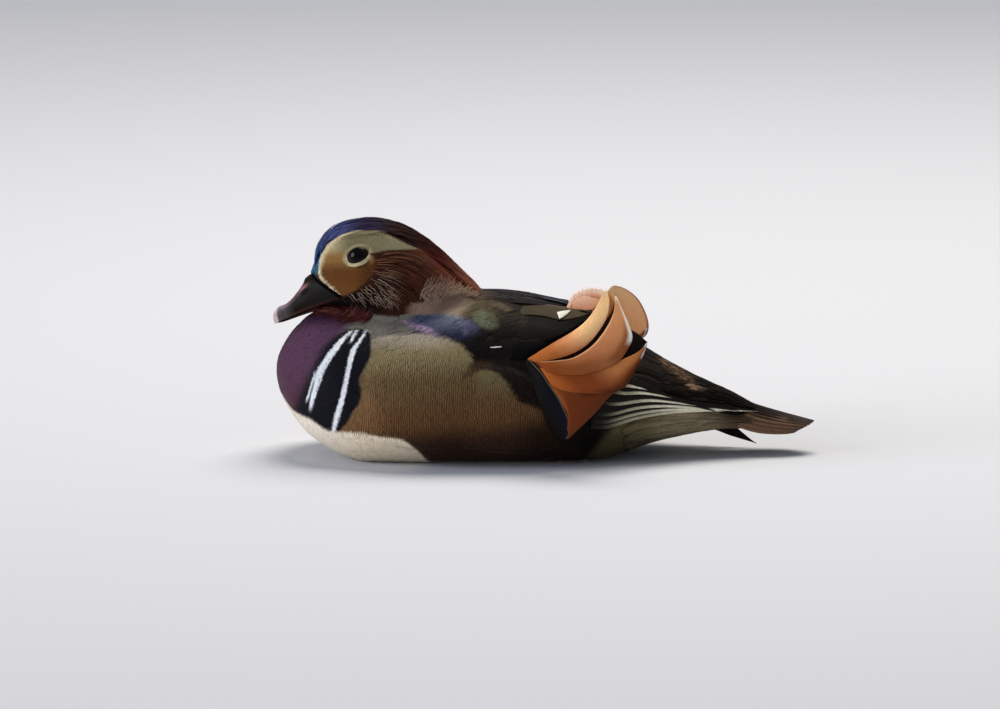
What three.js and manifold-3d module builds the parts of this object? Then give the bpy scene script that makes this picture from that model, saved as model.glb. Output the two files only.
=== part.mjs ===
// A mandarin duck drake, life size, resting on its belly with its neck drawn in.
// Millimetres, +Z up. The bill points along -X, the duck's left side faces -Y, and the floor is z = 0.
// The origin lies on the floor under the middle of the bird.

import * as THREE from "three";
import { mergeVertices } from "three/addons/utils/BufferGeometryUtils.js";
import Module from "manifold-3d";

const wasm = await Module();
wasm.setup();

// Driving sizes of the bird.
const GAP = 0.3; // between neighbouring pieces
const LENGTH = 294; // bill tip to tail tip, with the neck drawn in
const BREAST_X = -LENGTH / 2 + 0.7;
const TAIL_TIP_X = LENGTH / 2;
const RUMP_END_X = 112; // where the body's own taper ends inside the tail
const TAIL_CUT_X = 70; // torso in front, tail behind
const EYE_RADIUS = 6.2;
const EYE_AT = { x: -101.2, z: 112.5 };
const BILL_LENGTH = 30.8; // gape to tip
const BILL_TILT = 23; // degrees below level
const GAPE = { x: -118, z: 84.3 };
const NAIL_LENGTH = 4.6;

const LEFT = -1;
const RIGHT = 1;
const radians = THREE.MathUtils.degToRad;
const vector = (x, y, z) => new THREE.Vector3(x, y, z);

const COLOURS = {
  torso: 0x8a7440,
  neck: 0x7a3a1c,
  head: 0xd8c08a,
  crest: 0x2b2f5e,
  bill: 0x7c3a34,
  nail: 0xd9b3a0,
  eye: 0x120c08,
  wing: 0x2a2a24,
  sail: 0xd07a35,
  tail: 0x4a3a2c,
  foot: 0xd08a3a,
};

/** A smooth function through [x, value] pairs that never overshoots them. */
function curve(pairs, warp = (x) => x) {
  const xs = pairs.map(([x]) => warp(x));
  const ys = pairs.map(([, y]) => y);
  const slopes = xs.slice(1).map((x, i) => (ys[i + 1] - ys[i]) / (x - xs[i]));
  const bends = xs.map((_, i) => {
    if (i === 0) return slopes[0];
    if (i === xs.length - 1) return slopes[i - 1];
    const product = slopes[i - 1] * slopes[i];
    return product <= 0 ? 0 : (2 * product) / (slopes[i - 1] + slopes[i]);
  });
  return (value) => {
    const x = Math.min(Math.max(warp(value), xs[0]), xs[xs.length - 1]);
    let i = 0;
    while (i < xs.length - 2 && x > xs[i + 1]) i += 1;
    const width = xs[i + 1] - xs[i];
    const t = (x - xs[i]) / width;
    return (
      ys[i] * (1 + 2 * t) * (1 - t) ** 2 +
      ys[i + 1] * t * t * (3 - 2 * t) +
      width * (bends[i] * t * (1 - t) ** 2 - bends[i + 1] * t * t * (1 - t))
    );
  };
}

/** A closed solid from three.js geometry, with its faces turned out. */
function solid(geometry) {
  const bare = geometry.clone();
  bare.deleteAttribute("normal");
  bare.deleteAttribute("uv");
  const merged = mergeVertices(bare, 1e-3);
  const at = merged.attributes.position.array;
  const triangles = [];
  let volume = 0;
  for (let i = 0; i < merged.index.count; i += 3) {
    const [a, b, c] = [0, 1, 2].map((k) => merged.index.array[i + k]);
    if (a === b || b === c || a === c) continue;
    triangles.push([a, b, c]);
    const corner = (k) => new THREE.Vector3().fromArray(at, 3 * k);
    volume += corner(a).dot(corner(b).cross(corner(c)));
  }
  const faces = volume < 0 ? triangles.map(([a, b, c]) => [a, c, b]) : triangles;
  return new wasm.Manifold(
    new wasm.Mesh({
      numProp: 3,
      vertProperties: new Float32Array(at),
      triVerts: new Uint32Array(faces.flat()),
    }),
  );
}

/** A closed surface through rings of points. The second half of each ring is split like the first. */
function loft(rings) {
  const sides = rings[0].length;
  const middle = (ring) =>
    ring.reduce((sum, p) => sum.add(p), vector(0, 0, 0)).divideScalar(sides);
  const points = [...rings.flat(), middle(rings[0]), middle(rings[rings.length - 1])];
  const first = rings.length * sides;
  const faces = [];
  for (let j = 0; j < sides; j += 1) {
    const next = (j + 1) % sides;
    for (let i = 0; i < rings.length - 1; i += 1) {
      const [a, b] = [i * sides + j, i * sides + next];
      const [c, d] = [a + sides, b + sides];
      if (j < sides / 2) faces.push(a, b, d, a, d, c);
      else faces.push(a, b, c, b, d, c);
    }
    faces.push(first, next, j);
    faces.push(first + 1, first - sides + j, first - sides + next);
  }
  const geometry = new THREE.BufferGeometry().setFromPoints(points);
  return geometry.setIndex(faces);
}

/** A body described by its outline from the side and from above, with rounded sections. */
class Form {
  constructor({ front, rear, top, bottom, half, waist, over, under }) {
    Object.assign(this, { front, rear, top, bottom, half, waist, over, under });
  }

  /** The point of the skin at length x and angle a: 0 is the right side, 90 degrees the top. */
  point(x, a) {
    const [low, high, half] = [this.bottom(x), this.top(x), this.half(x)];
    const middle = low + this.waist * (high - low);
    const [c, s] = [Math.cos(a), Math.sin(a)];
    const power = 2 / (s > 0 ? this.over : this.under);
    const reach = s > 0 ? high - middle : middle - low;
    return vector(
      x,
      half * Math.sign(c) * Math.abs(c) ** power,
      middle + reach * Math.sign(s) * Math.abs(s) ** power,
    );
  }

  /** The outward direction there. */
  normal(x, a) {
    const near = Math.min(Math.max(x, this.front + 1), this.rear - 1);
    const along = this.point(near + 0.5, a).sub(this.point(near - 0.5, a));
    const around = this.point(near, a + 0.03).sub(this.point(near, a - 0.03));
    return around.cross(along).normalize();
  }

  /** The point at height h over the skin. */
  above(x, a, h) {
    return this.point(x, a).addScaledVector(this.normal(x, a), h);
  }

  /** The angle on one side at which the skin is z high. */
  angleAt(x, z, side) {
    let [low, high] = [-Math.PI / 2, Math.PI / 2];
    for (let i = 0; i < 24; i += 1) {
      const middle = (low + high) / 2;
      if (this.point(x, middle).z < z) low = middle;
      else high = middle;
    }
    return side === RIGHT ? low : Math.PI - low;
  }

  /** The closed solid, grown by a margin, in a number of lengthwise steps and sides. */
  solid(steps, sides, grow = 0) {
    const rings = [];
    for (let i = 0; i <= steps; i += 1) {
      const x = this.front + (this.rear - this.front) * Math.max(i / steps, 0.012) ** 2;
      const ring = [];
      for (let j = 0; j < sides; j += 1) {
        ring.push(this.above(x, ((j + 0.5) / sides) * 2 * Math.PI, grow));
      }
      rings.push(ring);
    }
    return solid(loft(rings));
  }
}

/** A block between two corners. */
function block(low, high) {
  const size = vector(...high).sub(vector(...low));
  const middle = vector(...low).addScaledVector(size, 0.5);
  return solid(
    new THREE.BoxGeometry(size.x, size.y, size.z).translate(middle.x, middle.y, middle.z),
  );
}

/** A block whose lower face is a plane through two points seen from the side, for cutting. */
function wedge(from, to, height) {
  const run = vector(to[0] - from[0], 0, to[1] - from[1]);
  const tilt = Math.atan2(run.z, run.x);
  const geometry = new THREE.BoxGeometry(run.length(), 200, height)
    .translate(run.length() / 2, 0, height / 2)
    .rotateY(-tilt)
    .translate(from[0], 0, from[1]);
  return solid(geometry);
}

/** The largest closed piece. */
function largest(shape) {
  const pieces = shape.decompose().sort((a, b) => b.volume() - a.volume());
  return pieces[0];
}

const join = (shapes) => wasm.Manifold.union(shapes);
const FLOOR = block([-200, -100, -40], [200, 100, 0]);

/** How wide a vane is from its root at 0 to its tip at 1. */
const OUTLINES = {
  covert: (t) => Math.min(1, 0.6 + 1.2 * t) * Math.sqrt(1 - Math.max(0, (t - 0.5) / 0.5) ** 2.4),
  flight: (t) => Math.min(1, 0.55 + 2 * t) * Math.sqrt(1 - t ** 5) * (1 - 0.25 * t),
  lock: (t) => (0.7 + 0.9 * t) * (1 - t) ** 0.75,
};

/** A closed vane along points, each with its outward direction. */
function vane(points, outs, half, outline, { steps = 4, thick = 0.27 } = {}) {
  const path = new THREE.CatmullRomCurve3(points);
  const rings = [];
  for (let i = 0; i <= steps; i += 1) {
    const t = i / steps;
    const way = path.getTangent(t);
    const reach = t * (outs.length - 1);
    const near = Math.min(Math.floor(reach), outs.length - 2);
    const out = outs[near].clone().lerp(outs[near + 1], reach - near);
    const across = out.cross(way).normalize();
    const up = way.cross(across).normalize();
    const wide = half * Math.max(outline(t), 0.14);
    const section = [[-wide, thick], [wide, thick], [wide, -thick], [-wide, -thick]];
    rings.push(
      section.map(([w, h]) =>
        path.getPoint(t).addScaledVector(across, w).addScaledVector(up, h),
      ),
    );
  }
  return solid(loft(rings));
}

/** A vane that lies on a surface from its root to its tip; place gives [point, outward]. */
function vaneOver(place, from, to, half, outline, { lift = 1.3, sink = 0.9, ...rest } = {}) {
  const stops = [[0, -sink], [0.35, 0.4 * lift], [0.7, 0.85 * lift], [1, lift]];
  const found = stops.map(([t, h]) =>
    place(from[0] + (to[0] - from[0]) * t, from[1] + (to[1] - from[1]) * t, h),
  );
  return vane(found.map(([at]) => at), found.map(([, out]) => out), half, outline, rest);
}

/** A repeatable small variation between -1 and 1. */
function vary(seed) {
  const value = Math.sin(seed * 12.9898) * 43758.5453;
  return 2 * (value - Math.floor(value)) - 1;
}

// The body: breast, belly, back and rump in one taper that runs on inside the tail.
const bluntly = (x) => Math.sqrt(Math.max(0, x - BREAST_X));
const body = new Form({
  front: BREAST_X,
  rear: RUMP_END_X,
  top: curve(
    [
      [BREAST_X, 47], [-142.5, 60], [-136, 69.5], [-125, 78.5], [-105, 82], [-60, 85],
      [-28, 88.5], [10, 84], [45, 66.5], [80, 43], [RUMP_END_X, 22],
    ],
    bluntly,
  ),
  bottom: curve(
    [
      [BREAST_X, 47], [-144.6, 36], [-139, 25], [-128, 11.5], [-114, 2.6], [-95, -4],
      [30, -4], [46, 2], [62, 7.5], [85, 12.5], [RUMP_END_X, 17.5],
    ],
    bluntly,
  ),
  half: curve(
    [
      [BREAST_X, 0], [-142.5, 16], [-136, 27.5], [-122, 40], [-98, 49], [-50, 55],
      [-10, 55], [25, 48], [60, 32], [85, 21], [RUMP_END_X, 12],
    ],
    bluntly,
  ),
  waist: 0.42,
  over: 2.1,
  under: 2.75,
});

// The head, its cheeks and the drawn-in neck, down to where they sink into the breast and mantle.
const HEAD_FRONT_X = -131;
const NAPE_END_X = -30;
const headForm = new Form({
  front: HEAD_FRONT_X,
  rear: NAPE_END_X,
  top: curve([
    [HEAD_FRONT_X, 92], [-128, 99.5], [-121, 116.5], [-114, 125.5], [-104, 129.6],
    [-93, 130.6], [-79, 127.6], [-64, 119.4], [-48, 105.2], [NAPE_END_X, 88],
  ]),
  bottom: curve([
    [HEAD_FRONT_X, 85], [-122, 78], [-108, 70], [-90, 66], [-60, 66], [NAPE_END_X, 80],
  ]),
  half: curve([
    [HEAD_FRONT_X, 5], [-126, 9], [-118, 13.5], [-106, 18.5], [-92, 23], [-76, 27],
    [-62, 26.5], [-46, 19], [NAPE_END_X, 3],
  ]),
  waist: 0.36,
  over: 1.95,
  under: 2.2,
});

/** A lens-shaped pad that lies on a form, for a part that bulges from it. */
function pad(form, { x, a, long, wide, rise, sink, tilt = 0, grow = 0 }) {
  const [shells, spokes] = [4, 20];
  const at = (share, turn, height) => {
    const [u, v] = [Math.cos(turn) * share, Math.sin(turn) * share];
    const along = u * (long + grow) * Math.cos(tilt) - v * (wide + grow) * Math.sin(tilt);
    const across = u * (long + grow) * Math.sin(tilt) + v * (wide + grow) * Math.cos(tilt);
    const width = form.half(x) || 1;
    return form.above(x + along, a - across / width, height);
  };
  const rings = [];
  for (let i = 1; i <= shells; i += 1) {
    const share = Math.sin((i / shells) * (Math.PI / 2));
    rings.push([share, rise * Math.sqrt(Math.max(0, 1 - share * share)) + grow]);
  }
  const outer = rings.map(([share, height]) => [share, height]);
  outer.push([0.6, -sink]);
  const points = outer.map(([share, height]) =>
    Array.from({ length: spokes }, (_, j) =>
      at(share, ((j + 0.5) / spokes) * 2 * Math.PI, height),
    ),
  );
  return solid(loft(points));
}

/** The flank on one side: two overlapping lobes of feathers that swell over the folded wing. */
function flank(side, grow = 0) {
  const place = (x, z) => body.angleAt(x, z, side);
  const turn = side === LEFT ? -1 : 1;
  return join([
    pad(body, {
      x: -62, a: place(-62, 40), long: 35, wide: 36, rise: 6.5, sink: 3,
      tilt: 0, grow,
    }),
    pad(body, {
      x: -24, a: place(-24, 28), long: 39, wide: 28, rise: 5.5, sink: 3,
      tilt: turn * 0.35, grow,
    }),
  ]);
}

/** The torso with both flanks, grown by a margin where neighbours are cut back from it. */
function bodyShape(grow) {
  return join([
    body.solid(20, 26, grow),
    flank(LEFT, 1.6 * grow),
    flank(RIGHT, 1.6 * grow),
  ]).subtract(FLOOR);
}

const wholeBody = bodyShape(0);
const bodyRoom = join([bodyShape(GAP), wholeBody]);
const behindCut = block([TAIL_CUT_X, -100, -10], [200, 100, 160]);
const behindCutRoom = block([TAIL_CUT_X - GAP, -100, -10], [200, 100, 160]);

/** One webbed foot lying flat under the belly, toes forward, with its shank running back. */
function foot(side, grow = 0) {
  const heel = vector(8, side * 17, 0);
  const toes = [
    { turn: 20, length: 32 },
    { turn: 1, length: 39 },
    { turn: -17, length: 33 },
  ];
  const shapes = [];
  const tips = [];
  for (const { turn, length } of toes) {
    const way = vector(-Math.cos(radians(turn)), -side * Math.sin(radians(turn)), 0);
    const tip = heel.clone().addScaledVector(way, length);
    tips.push(tip);
    const toe = new THREE.CylinderGeometry(1 + grow, 2.6 + grow, length, 8)
      .translate(0, length / 2, 0)
      .rotateZ(Math.atan2(way.y, way.x) - Math.PI / 2);
    shapes.push(solid(toe.translate(heel.x, heel.y, 0)));
  }
  const web = new THREE.Shape([
    new THREE.Vector2(heel.x, heel.y),
    ...tips.map((tip) => {
      const inward = tip.clone().lerp(heel, 0.1);
      return new THREE.Vector2(inward.x, inward.y);
    }),
  ]);
  const sheet = new THREE.ExtrudeGeometry(web, {
    depth: 1.2 + grow, bevelEnabled: grow > 0, bevelSize: grow, bevelThickness: grow,
  });
  shapes.push(solid(sheet));
  const shank = new THREE.CatmullRomCurve3([
    vector(heel.x - 2, heel.y, 2),
    vector(heel.x + 10, heel.y, 3.2),
    vector(heel.x + 24, heel.y, 6),
  ]);
  const round = new THREE.Shape().absarc(0, 0, 2.8 + grow, 0, 2 * Math.PI);
  shapes.push(
    solid(
      new THREE.ExtrudeGeometry(round, {
        extrudePath: shank, steps: 4, curveSegments: 4,
      }),
    ),
  );
  return largest(join(shapes).subtract(FLOOR));
}

const feet = { left: foot(LEFT), right: foot(RIGHT) };
const torso = largest(
  wholeBody
    .subtract(behindCutRoom)
    .subtract(foot(LEFT, GAP + 0.1))
    .subtract(foot(RIGHT, GAP + 0.1)),
);

// The head, neck and crest are one form, parted by thin cuts.
const CREST_LINE = [[-108, 126.5], [-28, 84.5]];
const NECK_LINE = [[-100, 60], [-86, 132]];
const headWhole = headForm.solid(18, 26).subtract(bodyRoom);
const aboveCrest = wedge(...CREST_LINE, 60);
const crestRun = vector(
  CREST_LINE[1][0] - CREST_LINE[0][0], 0, CREST_LINE[1][1] - CREST_LINE[0][1],
).normalize();
const aboveCrestRoom = wedge(
  [CREST_LINE[0][0] - GAP * crestRun.x, CREST_LINE[0][1] - 1.15 * GAP - GAP * crestRun.z],
  [CREST_LINE[1][0], CREST_LINE[1][1] - 1.15 * GAP],
  60,
);
const behindNeck = wedge(NECK_LINE[1], NECK_LINE[0], 120);
const behindNeckRoom = wedge(
  ...[NECK_LINE[1], NECK_LINE[0]].map(([x, z]) => [x - GAP, z]),
  120,
);

/** The middle of the eye on one side, sunk so that only its front shows. */
function eyeMiddle(side, depth) {
  return headForm.above(EYE_AT.x, headForm.angleAt(EYE_AT.x, EYE_AT.z, side), -depth);
}

/** An eyeball. */
function eyeball(side, grow = 0) {
  const middle = eyeMiddle(side, 4.4);
  const ball = new THREE.SphereGeometry(EYE_RADIUS + grow, 16, 10);
  return solid(ball.translate(middle.x, middle.y, middle.z));
}

/** The two lids round an eye, as one raised rim. */
function lids(side) {
  const at = headForm.angleAt(EYE_AT.x, EYE_AT.z, side);
  const outward = headForm.normal(EYE_AT.x, at);
  const middle = eyeMiddle(side, -0.1);
  const rim = new THREE.TorusGeometry(5.2, 1.1, 5, 16).scale(1.08, 0.94, 1);
  const turn = new THREE.Quaternion().setFromUnitVectors(vector(0, 0, 1), outward);
  return solid(rim.applyQuaternion(turn).translate(middle.x, middle.y, middle.z));
}

const inFront = headWhole.subtract(aboveCrestRoom).subtract(behindNeckRoom);
const headShape = largest(
  join([inFront, lids(LEFT), lids(RIGHT)])
    .subtract(eyeball(LEFT, GAP))
    .subtract(eyeball(RIGHT, GAP)),
);

/** A place on the head's side x along and z high, h over it, with its outward direction. */
const onHead = (side) => (x, z, h) => {
  const a = headForm.angleAt(x, z, side);
  return [headForm.above(x, a, h), headForm.normal(x, a)];
};

/** The ruff's hackles on one side: three tiers that fan back and down from the cheek. */
function hackles(side) {
  const cheek = [-90, 106];
  const tiers = [
    { from: 6, to: 0.56, count: 4, half: 3.2 },
    { from: 13, to: 0.8, count: 5, half: 3.9 },
    { from: 21, to: 1, count: 5, half: 4.6 },
  ];
  return tiers.flatMap(({ from, to, count, half }, tier) =>
    Array.from({ length: count }, (_, i) => {
      const turn = -18 - ((i + (tier % 2) * 0.5) / (count - 0.5)) * 66;
      const reach = 58 + 0.43 * turn + 1.5 * vary(7 * tier + i);
      const [c, z] = [Math.cos(radians(turn)), Math.sin(radians(turn))];
      const start = Math.min(from, 0.55 * to * reach);
      return vaneOver(
        onHead(side),
        [cheek[0] + start * c, cheek[1] + start * z],
        [cheek[0] + to * reach * c, cheek[1] + to * reach * z],
        half, OUTLINES.lock, { lift: 1.6 },
      );
    }),
  );
}

/** The crest's long feathers, in tiers from the crown back over the nape. */
function crestLocks() {
  const overCrown = (x, a, h) => [headForm.above(x, a, h), headForm.normal(x, a)];
  const tiers = [
    { from: -63, to: -28, rows: 3, spread: 25 },
    { from: -78, to: -44, rows: 4, spread: 24 },
    { from: -92, to: -58, rows: 5, spread: 21 },
    { from: -104, to: -74, rows: 2, spread: 24 },
  ];
  return tiers.flatMap(({ from, to, rows, spread }, tier) =>
    Array.from({ length: rows }, (_, i) => {
      const a = radians(90 + (i - (rows - 1) / 2) * spread);
      const drift = 1.5 * vary(31 * tier + i);
      return vaneOver(
        overCrown, [from + drift, a], [to + drift, a + 0.3 * (a - Math.PI / 2)],
        3.9, OUTLINES.lock, { lift: 1.3 },
      );
    }),
  );
}

const neckShape = largest(
  join([headWhole, ...hackles(LEFT), ...hackles(RIGHT)])
    .subtract(bodyRoom)
    .subtract(aboveCrestRoom)
    .intersect(behindNeck),
);
const crestShape = largest(
  join([headWhole.intersect(aboveCrest), ...crestLocks()]).intersect(aboveCrest).subtract(bodyRoom),
);

// The bill is drawn level from gape to tip, then tilted.
const billForm = new Form({
  front: -BILL_LENGTH,
  rear: 2,
  top: curve([
    [-BILL_LENGTH, 0.9], [-29.6, 2.4], [-26, 3.7], [-19, 5.7], [-11.6, 9.8], [-5.4, 15.2],
    [2, 16.5],
  ]),
  bottom: curve([[-BILL_LENGTH, -0.8], [-28, 0], [2, 0]]),
  half: curve([
    [-BILL_LENGTH, 0.6], [-29.6, 3.4], [-26, 5.4], [-19, 6], [-11, 6.6], [-5, 7.6], [2, 9],
  ]),
  waist: 0.12,
  over: 1.9,
  under: 3,
});
const jawForm = new Form({
  front: -BILL_LENGTH + 1.6,
  rear: 2,
  top: curve([[-BILL_LENGTH, -0.3], [2, -0.3]]),
  bottom: curve([[-BILL_LENGTH + 1.6, -0.9], [-26, -2.2], [-14, -3], [2, -4.5]]),
  half: curve([[-BILL_LENGTH + 1.6, 0.6], [-27, 3.6], [-19, 5], [-5, 6.4], [2, 7.6]]),
  waist: 0.8,
  over: 4,
  under: 2.2,
});

/** Places a bill piece at the gape. */
function atGape(shape) {
  return shape.rotate([0, -BILL_TILT, 0]).translate([GAPE.x, 0, GAPE.z]);
}

const headRoom = headForm.solid(18, 26, GAP);
const nostril = (side) =>
  solid(new THREE.SphereGeometry(1, 10, 6).scale(2.1, 1.6, 0.9).translate(-8.2, side * 4.9, 9.6));
const billWhole = billForm.solid(12, 16).subtract(nostril(LEFT)).subtract(nostril(RIGHT));
const nailCut = block([-60, -20, -10], [-BILL_LENGTH + NAIL_LENGTH, 20, 30]);
const nailCutRoom = block([-60, -20, -10], [-BILL_LENGTH + NAIL_LENGTH + GAP, 20, 30]);
const billShape = largest(
  atGape(billWhole.subtract(nailCutRoom)).subtract(headRoom).subtract(bodyRoom),
);
const nailShape = largest(atGape(billWhole.intersect(nailCut)));
const jawShape = largest(atGape(jawForm.solid(8, 12)).subtract(headRoom).subtract(bodyRoom));

// The folded wing lies on a pad over the shoulder.
const SHOULDER = { x: -32, z: 72, long: 56, wide: 17, rise: 2.2, sink: 2 };

/** A place over the shoulder pad of one side. u runs back along it and v up across it. */
const onShoulder = (side) => (u, v, h) => {
  const middle = body.angleAt(SHOULDER.x, SHOULDER.z, side);
  const x = SHOULDER.x + u * SHOULDER.long;
  const a = middle - ((side === LEFT ? 1 : -1) * v * SHOULDER.wide) / body.half(x);
  const swell = SHOULDER.rise * Math.sqrt(Math.max(0, 1 - u * u - v * v));
  return [body.above(x, a, swell + h), body.normal(x, a)];
};

/** The coverts and scapulars over one shoulder, in tiers that run back and up. */
function shoulderFeathers(side) {
  const tiers = [
    { u: 0.34, rows: [-0.5, 0.1, 0.7], long: 0.68, half: 4.9 },
    { u: 0, rows: [-0.78, -0.18, 0.42], long: 0.6, half: 4.9 },
    { u: -0.34, rows: [-0.3, 0.28, 0.8], long: 0.6, half: 4.8 },
    { u: -0.66, rows: [-0.08, 0.42], long: 0.56, half: 4.4 },
  ];
  return tiers.flatMap(({ u, rows, long, half }, tier) =>
    rows.map((v, i) => {
      const start = u + 0.03 * vary(11 * tier + i + (side === LEFT ? 0 : 5));
      return vaneOver(
        onShoulder(side), [start, v], [start + long, v + 0.12], half, OUTLINES.covert,
        { lift: 1.5, sink: 1 },
      );
    }),
  );
}

// How far out from the middle the folded primaries lie behind the body's widest part.
const nearReach = curve([[46, 40], [66, 29], [83, 21.5], [97, 17], [111, 13], [124, 10]]);
const farReach = curve([[46, 42], [66, 35], [95, 27], [119, 20], [124, 19]]);

/** A place of the folded primaries, h out from the lowest, with its outward direction. */
function rearPlace(x, z, side, h) {
  if (x < 46) {
    const a = body.angleAt(x, z, side);
    return [body.above(x, a, h), body.normal(x, a)];
  }
  const drop = side === RIGHT ? 24 * Math.min(1, (x - 46) / 70) : 0;
  const reach = side === LEFT ? nearReach(x) : farReach(x);
  const lean = side === LEFT ? 0.45 : 0.1;
  return [vector(x, side * (reach + h), z - drop), vector(0, side, lean)];
}

/** The secondaries and primaries of one wing, each shorter than the next and lying over it. */
function flightFeathers(side) {
  const flight = [
    { from: -36, tip: [12, 44], half: 5.4 },
    { from: -24, tip: [38, 41], half: 5 },
    { from: -13, tip: [62, 40], half: 4.8 },
    { from: -8, tip: [82, 34], half: 4.4 },
    { from: -4, tip: [98, 29.5], half: 4.2 },
    { from: 0, tip: [112, 27.2], half: 4 },
    { from: 3, tip: [123.5, 26], half: 3.8 },
  ];
  return flight.map(({ from, tip, half }, i) => {
    const layer = 0.7 + 0.75 * (flight.length - 1 - i);
    const span = tip[0] - from;
    const top = 63 - 0.4 * i;
    const found = [0, 0.25, 0.5, 0.75, 1].map((t) => {
      const z = top + (tip[1] - top) * t ** 0.85;
      return rearPlace(from + span * t, z, side, t ? layer : -0.8);
    });
    return vane(
      found.map(([at]) => at), found.map(([, out]) => out), half, OUTLINES.flight,
      { steps: 6 },
    );
  });
}

/** One folded wing. */
function wing(side) {
  const { x, z, ...shape } = SHOULDER;
  const shoulder = pad(body, { x, a: body.angleAt(x, z, side), ...shape });
  return join([shoulder, ...shoulderFeathers(side), ...flightFeathers(side)]);
}

/** The rump under its coverts, and the tail: a closed fan shaped like a roof. */
function tail() {
  const rump = wholeBody.intersect(behindCut);
  const shapes = [rump];
  const pairs = 4;
  for (let i = -pairs; i <= pairs; i += 1) {
    const share = i / pairs;
    const out = Math.abs(share);
    const under = 0.9 * Math.abs(i);
    const tip = vector(TAIL_TIP_X - 13 * out ** 2, 15 * share, 18 - 3 * out ** 1.4 - under);
    const root = vector(80, 9 * share, 30 - out - under);
    const middle = vector(112, 14.5 * share, 25.5 - 3 * out ** 1.4 - under);
    const lean = vector(0, 0.35 * share, 1);
    shapes.push(vane([root, middle, tip], [lean, lean], 6, OUTLINES.covert, { steps: 5 }));
  }
  const onRump = (x, a, h) => [body.above(x, a, h), body.normal(x, a)];
  const coverts = [
    { from: 90, to: 119, rows: [0], half: 5.5, middle: 90 },
    { from: 76, to: 106, rows: [-38, 38], half: 6, middle: 90 },
    { from: 90, to: 116, rows: [0], half: 5.5, middle: 270 },
    { from: 76, to: 103, rows: [-40, 40], half: 6, middle: 270 },
  ];
  for (const { from, to, rows, half, middle } of coverts) {
    for (const row of rows) {
      const a = radians(middle + row);
      shapes.push(
        vaneOver(onRump, [from, a], [to, a], half, OUTLINES.covert, { lift: 1.4, sink: 1.2 }),
      );
    }
  }
  return largest(join(shapes).intersect(behindCut).subtract(FLOOR));
}

const tailShape = tail();
const wings = {
  left: largest(wing(LEFT).subtract(bodyRoom).subtract(FLOOR)),
  right: largest(wing(RIGHT).subtract(bodyRoom).subtract(FLOOR)),
};

/** Where a sail stands out from the middle at a height: upright low down, leaning in above. */
const sailReach = (z) => 60.5 - 22 * Math.max(0, (z - 50) / 46) ** 1.5;

/** The raised sail feather of one wing: a shaft, a dark outer web and four broad barbed strips. */
function sail(side) {
  const shift = side === RIGHT ? { x: 6, z: -7 } : { x: 0, z: 0 };
  const at = ([x, z, out = 0]) =>
    vector(x + shift.x, side * (sailReach(z) + out), z + shift.z);
  const outward = (z) => vector(0, side, z > 52 ? 0.7 : 0.05);
  const strips = [
    { path: [[-6, 61], [9, 61], [24, 67], [31, 79], [34, 95.5]], half: 7.2, out: 2.7 },
    { path: [[-2, 54], [15, 52], [34, 58], [42.5, 71], [42, 90]], half: 9, out: 1.8 },
    { path: [[5, 44], [20, 41], [37, 45], [48, 53], [56.5, 68]], half: 9.2, out: 0.9 },
    { path: [[12, 24], [19, 27], [27, 33], [34, 40], [42, 49]], half: 10.5, out: 0 },
  ];
  const shapes = strips.map(({ path, half, out }) =>
    vane(
      path.map(([x, z]) => at([x, z, out])),
      path.map(([, z]) => outward(z)),
      half, OUTLINES.flight, { steps: 7 },
    ),
  );
  const shaft = [[-9, 65, 2.7], [-1, 55, 2.3], [7, 45, 1.5], [12.5, 34, 0.9], [14, 20, 0.2]];
  shapes.push(
    vane(
      shaft.map(at), shaft.map(([, z]) => outward(z)), 2.2, OUTLINES.flight,
      { steps: 7, thick: 1 },
    ),
  );
  const web = [[-13, 60, 2.2], [-7, 48, 1.8], [1, 37, 1.2], [8, 27, 0.6], [13, 17, 0]];
  shapes.push(
    vane(
      web.map(at), web.map(([, z]) => outward(z)), 7, OUTLINES.flight,
      { steps: 7 },
    ),
  );
  return join(shapes);
}

/** Takes a neighbour and copies of it moved a little each way out of a shape. */
function clearOf(shape, neighbour) {
  const ways = [[0, 0, 0], [0, GAP, 0], [0, -GAP, 0], [0, 0, GAP], [0, 0, -GAP], [GAP, 0, 0]];
  return ways.reduce((left, way) => left.subtract(neighbour.translate(way)), shape);
}

const sails = {
  left: largest(clearOf(sail(LEFT).subtract(bodyRoom), wings.left)),
  right: largest(clearOf(sail(RIGHT).subtract(bodyRoom), wings.right)),
};

/** A named mesh of one piece. */
function piece(name, shape, colour, roughness = 0.7) {
  const { numProp, numVert, vertProperties, triVerts } = shape.getMesh();
  const at = new Float32Array(numVert * 3);
  for (let i = 0; i < numVert; i += 1) {
    at.set(vertProperties.subarray(i * numProp, i * numProp + 3), i * 3);
  }
  const geometry = new THREE.BufferGeometry()
    .setAttribute("position", new THREE.BufferAttribute(at, 3))
    .setIndex(new THREE.BufferAttribute(triVerts, 1));
  geometry.computeVertexNormals();
  const material = new THREE.MeshStandardMaterial({ color: colour, roughness, metalness: 0 });
  const mesh = new THREE.Mesh(geometry, material);
  mesh.name = name;
  return mesh;
}

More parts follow.
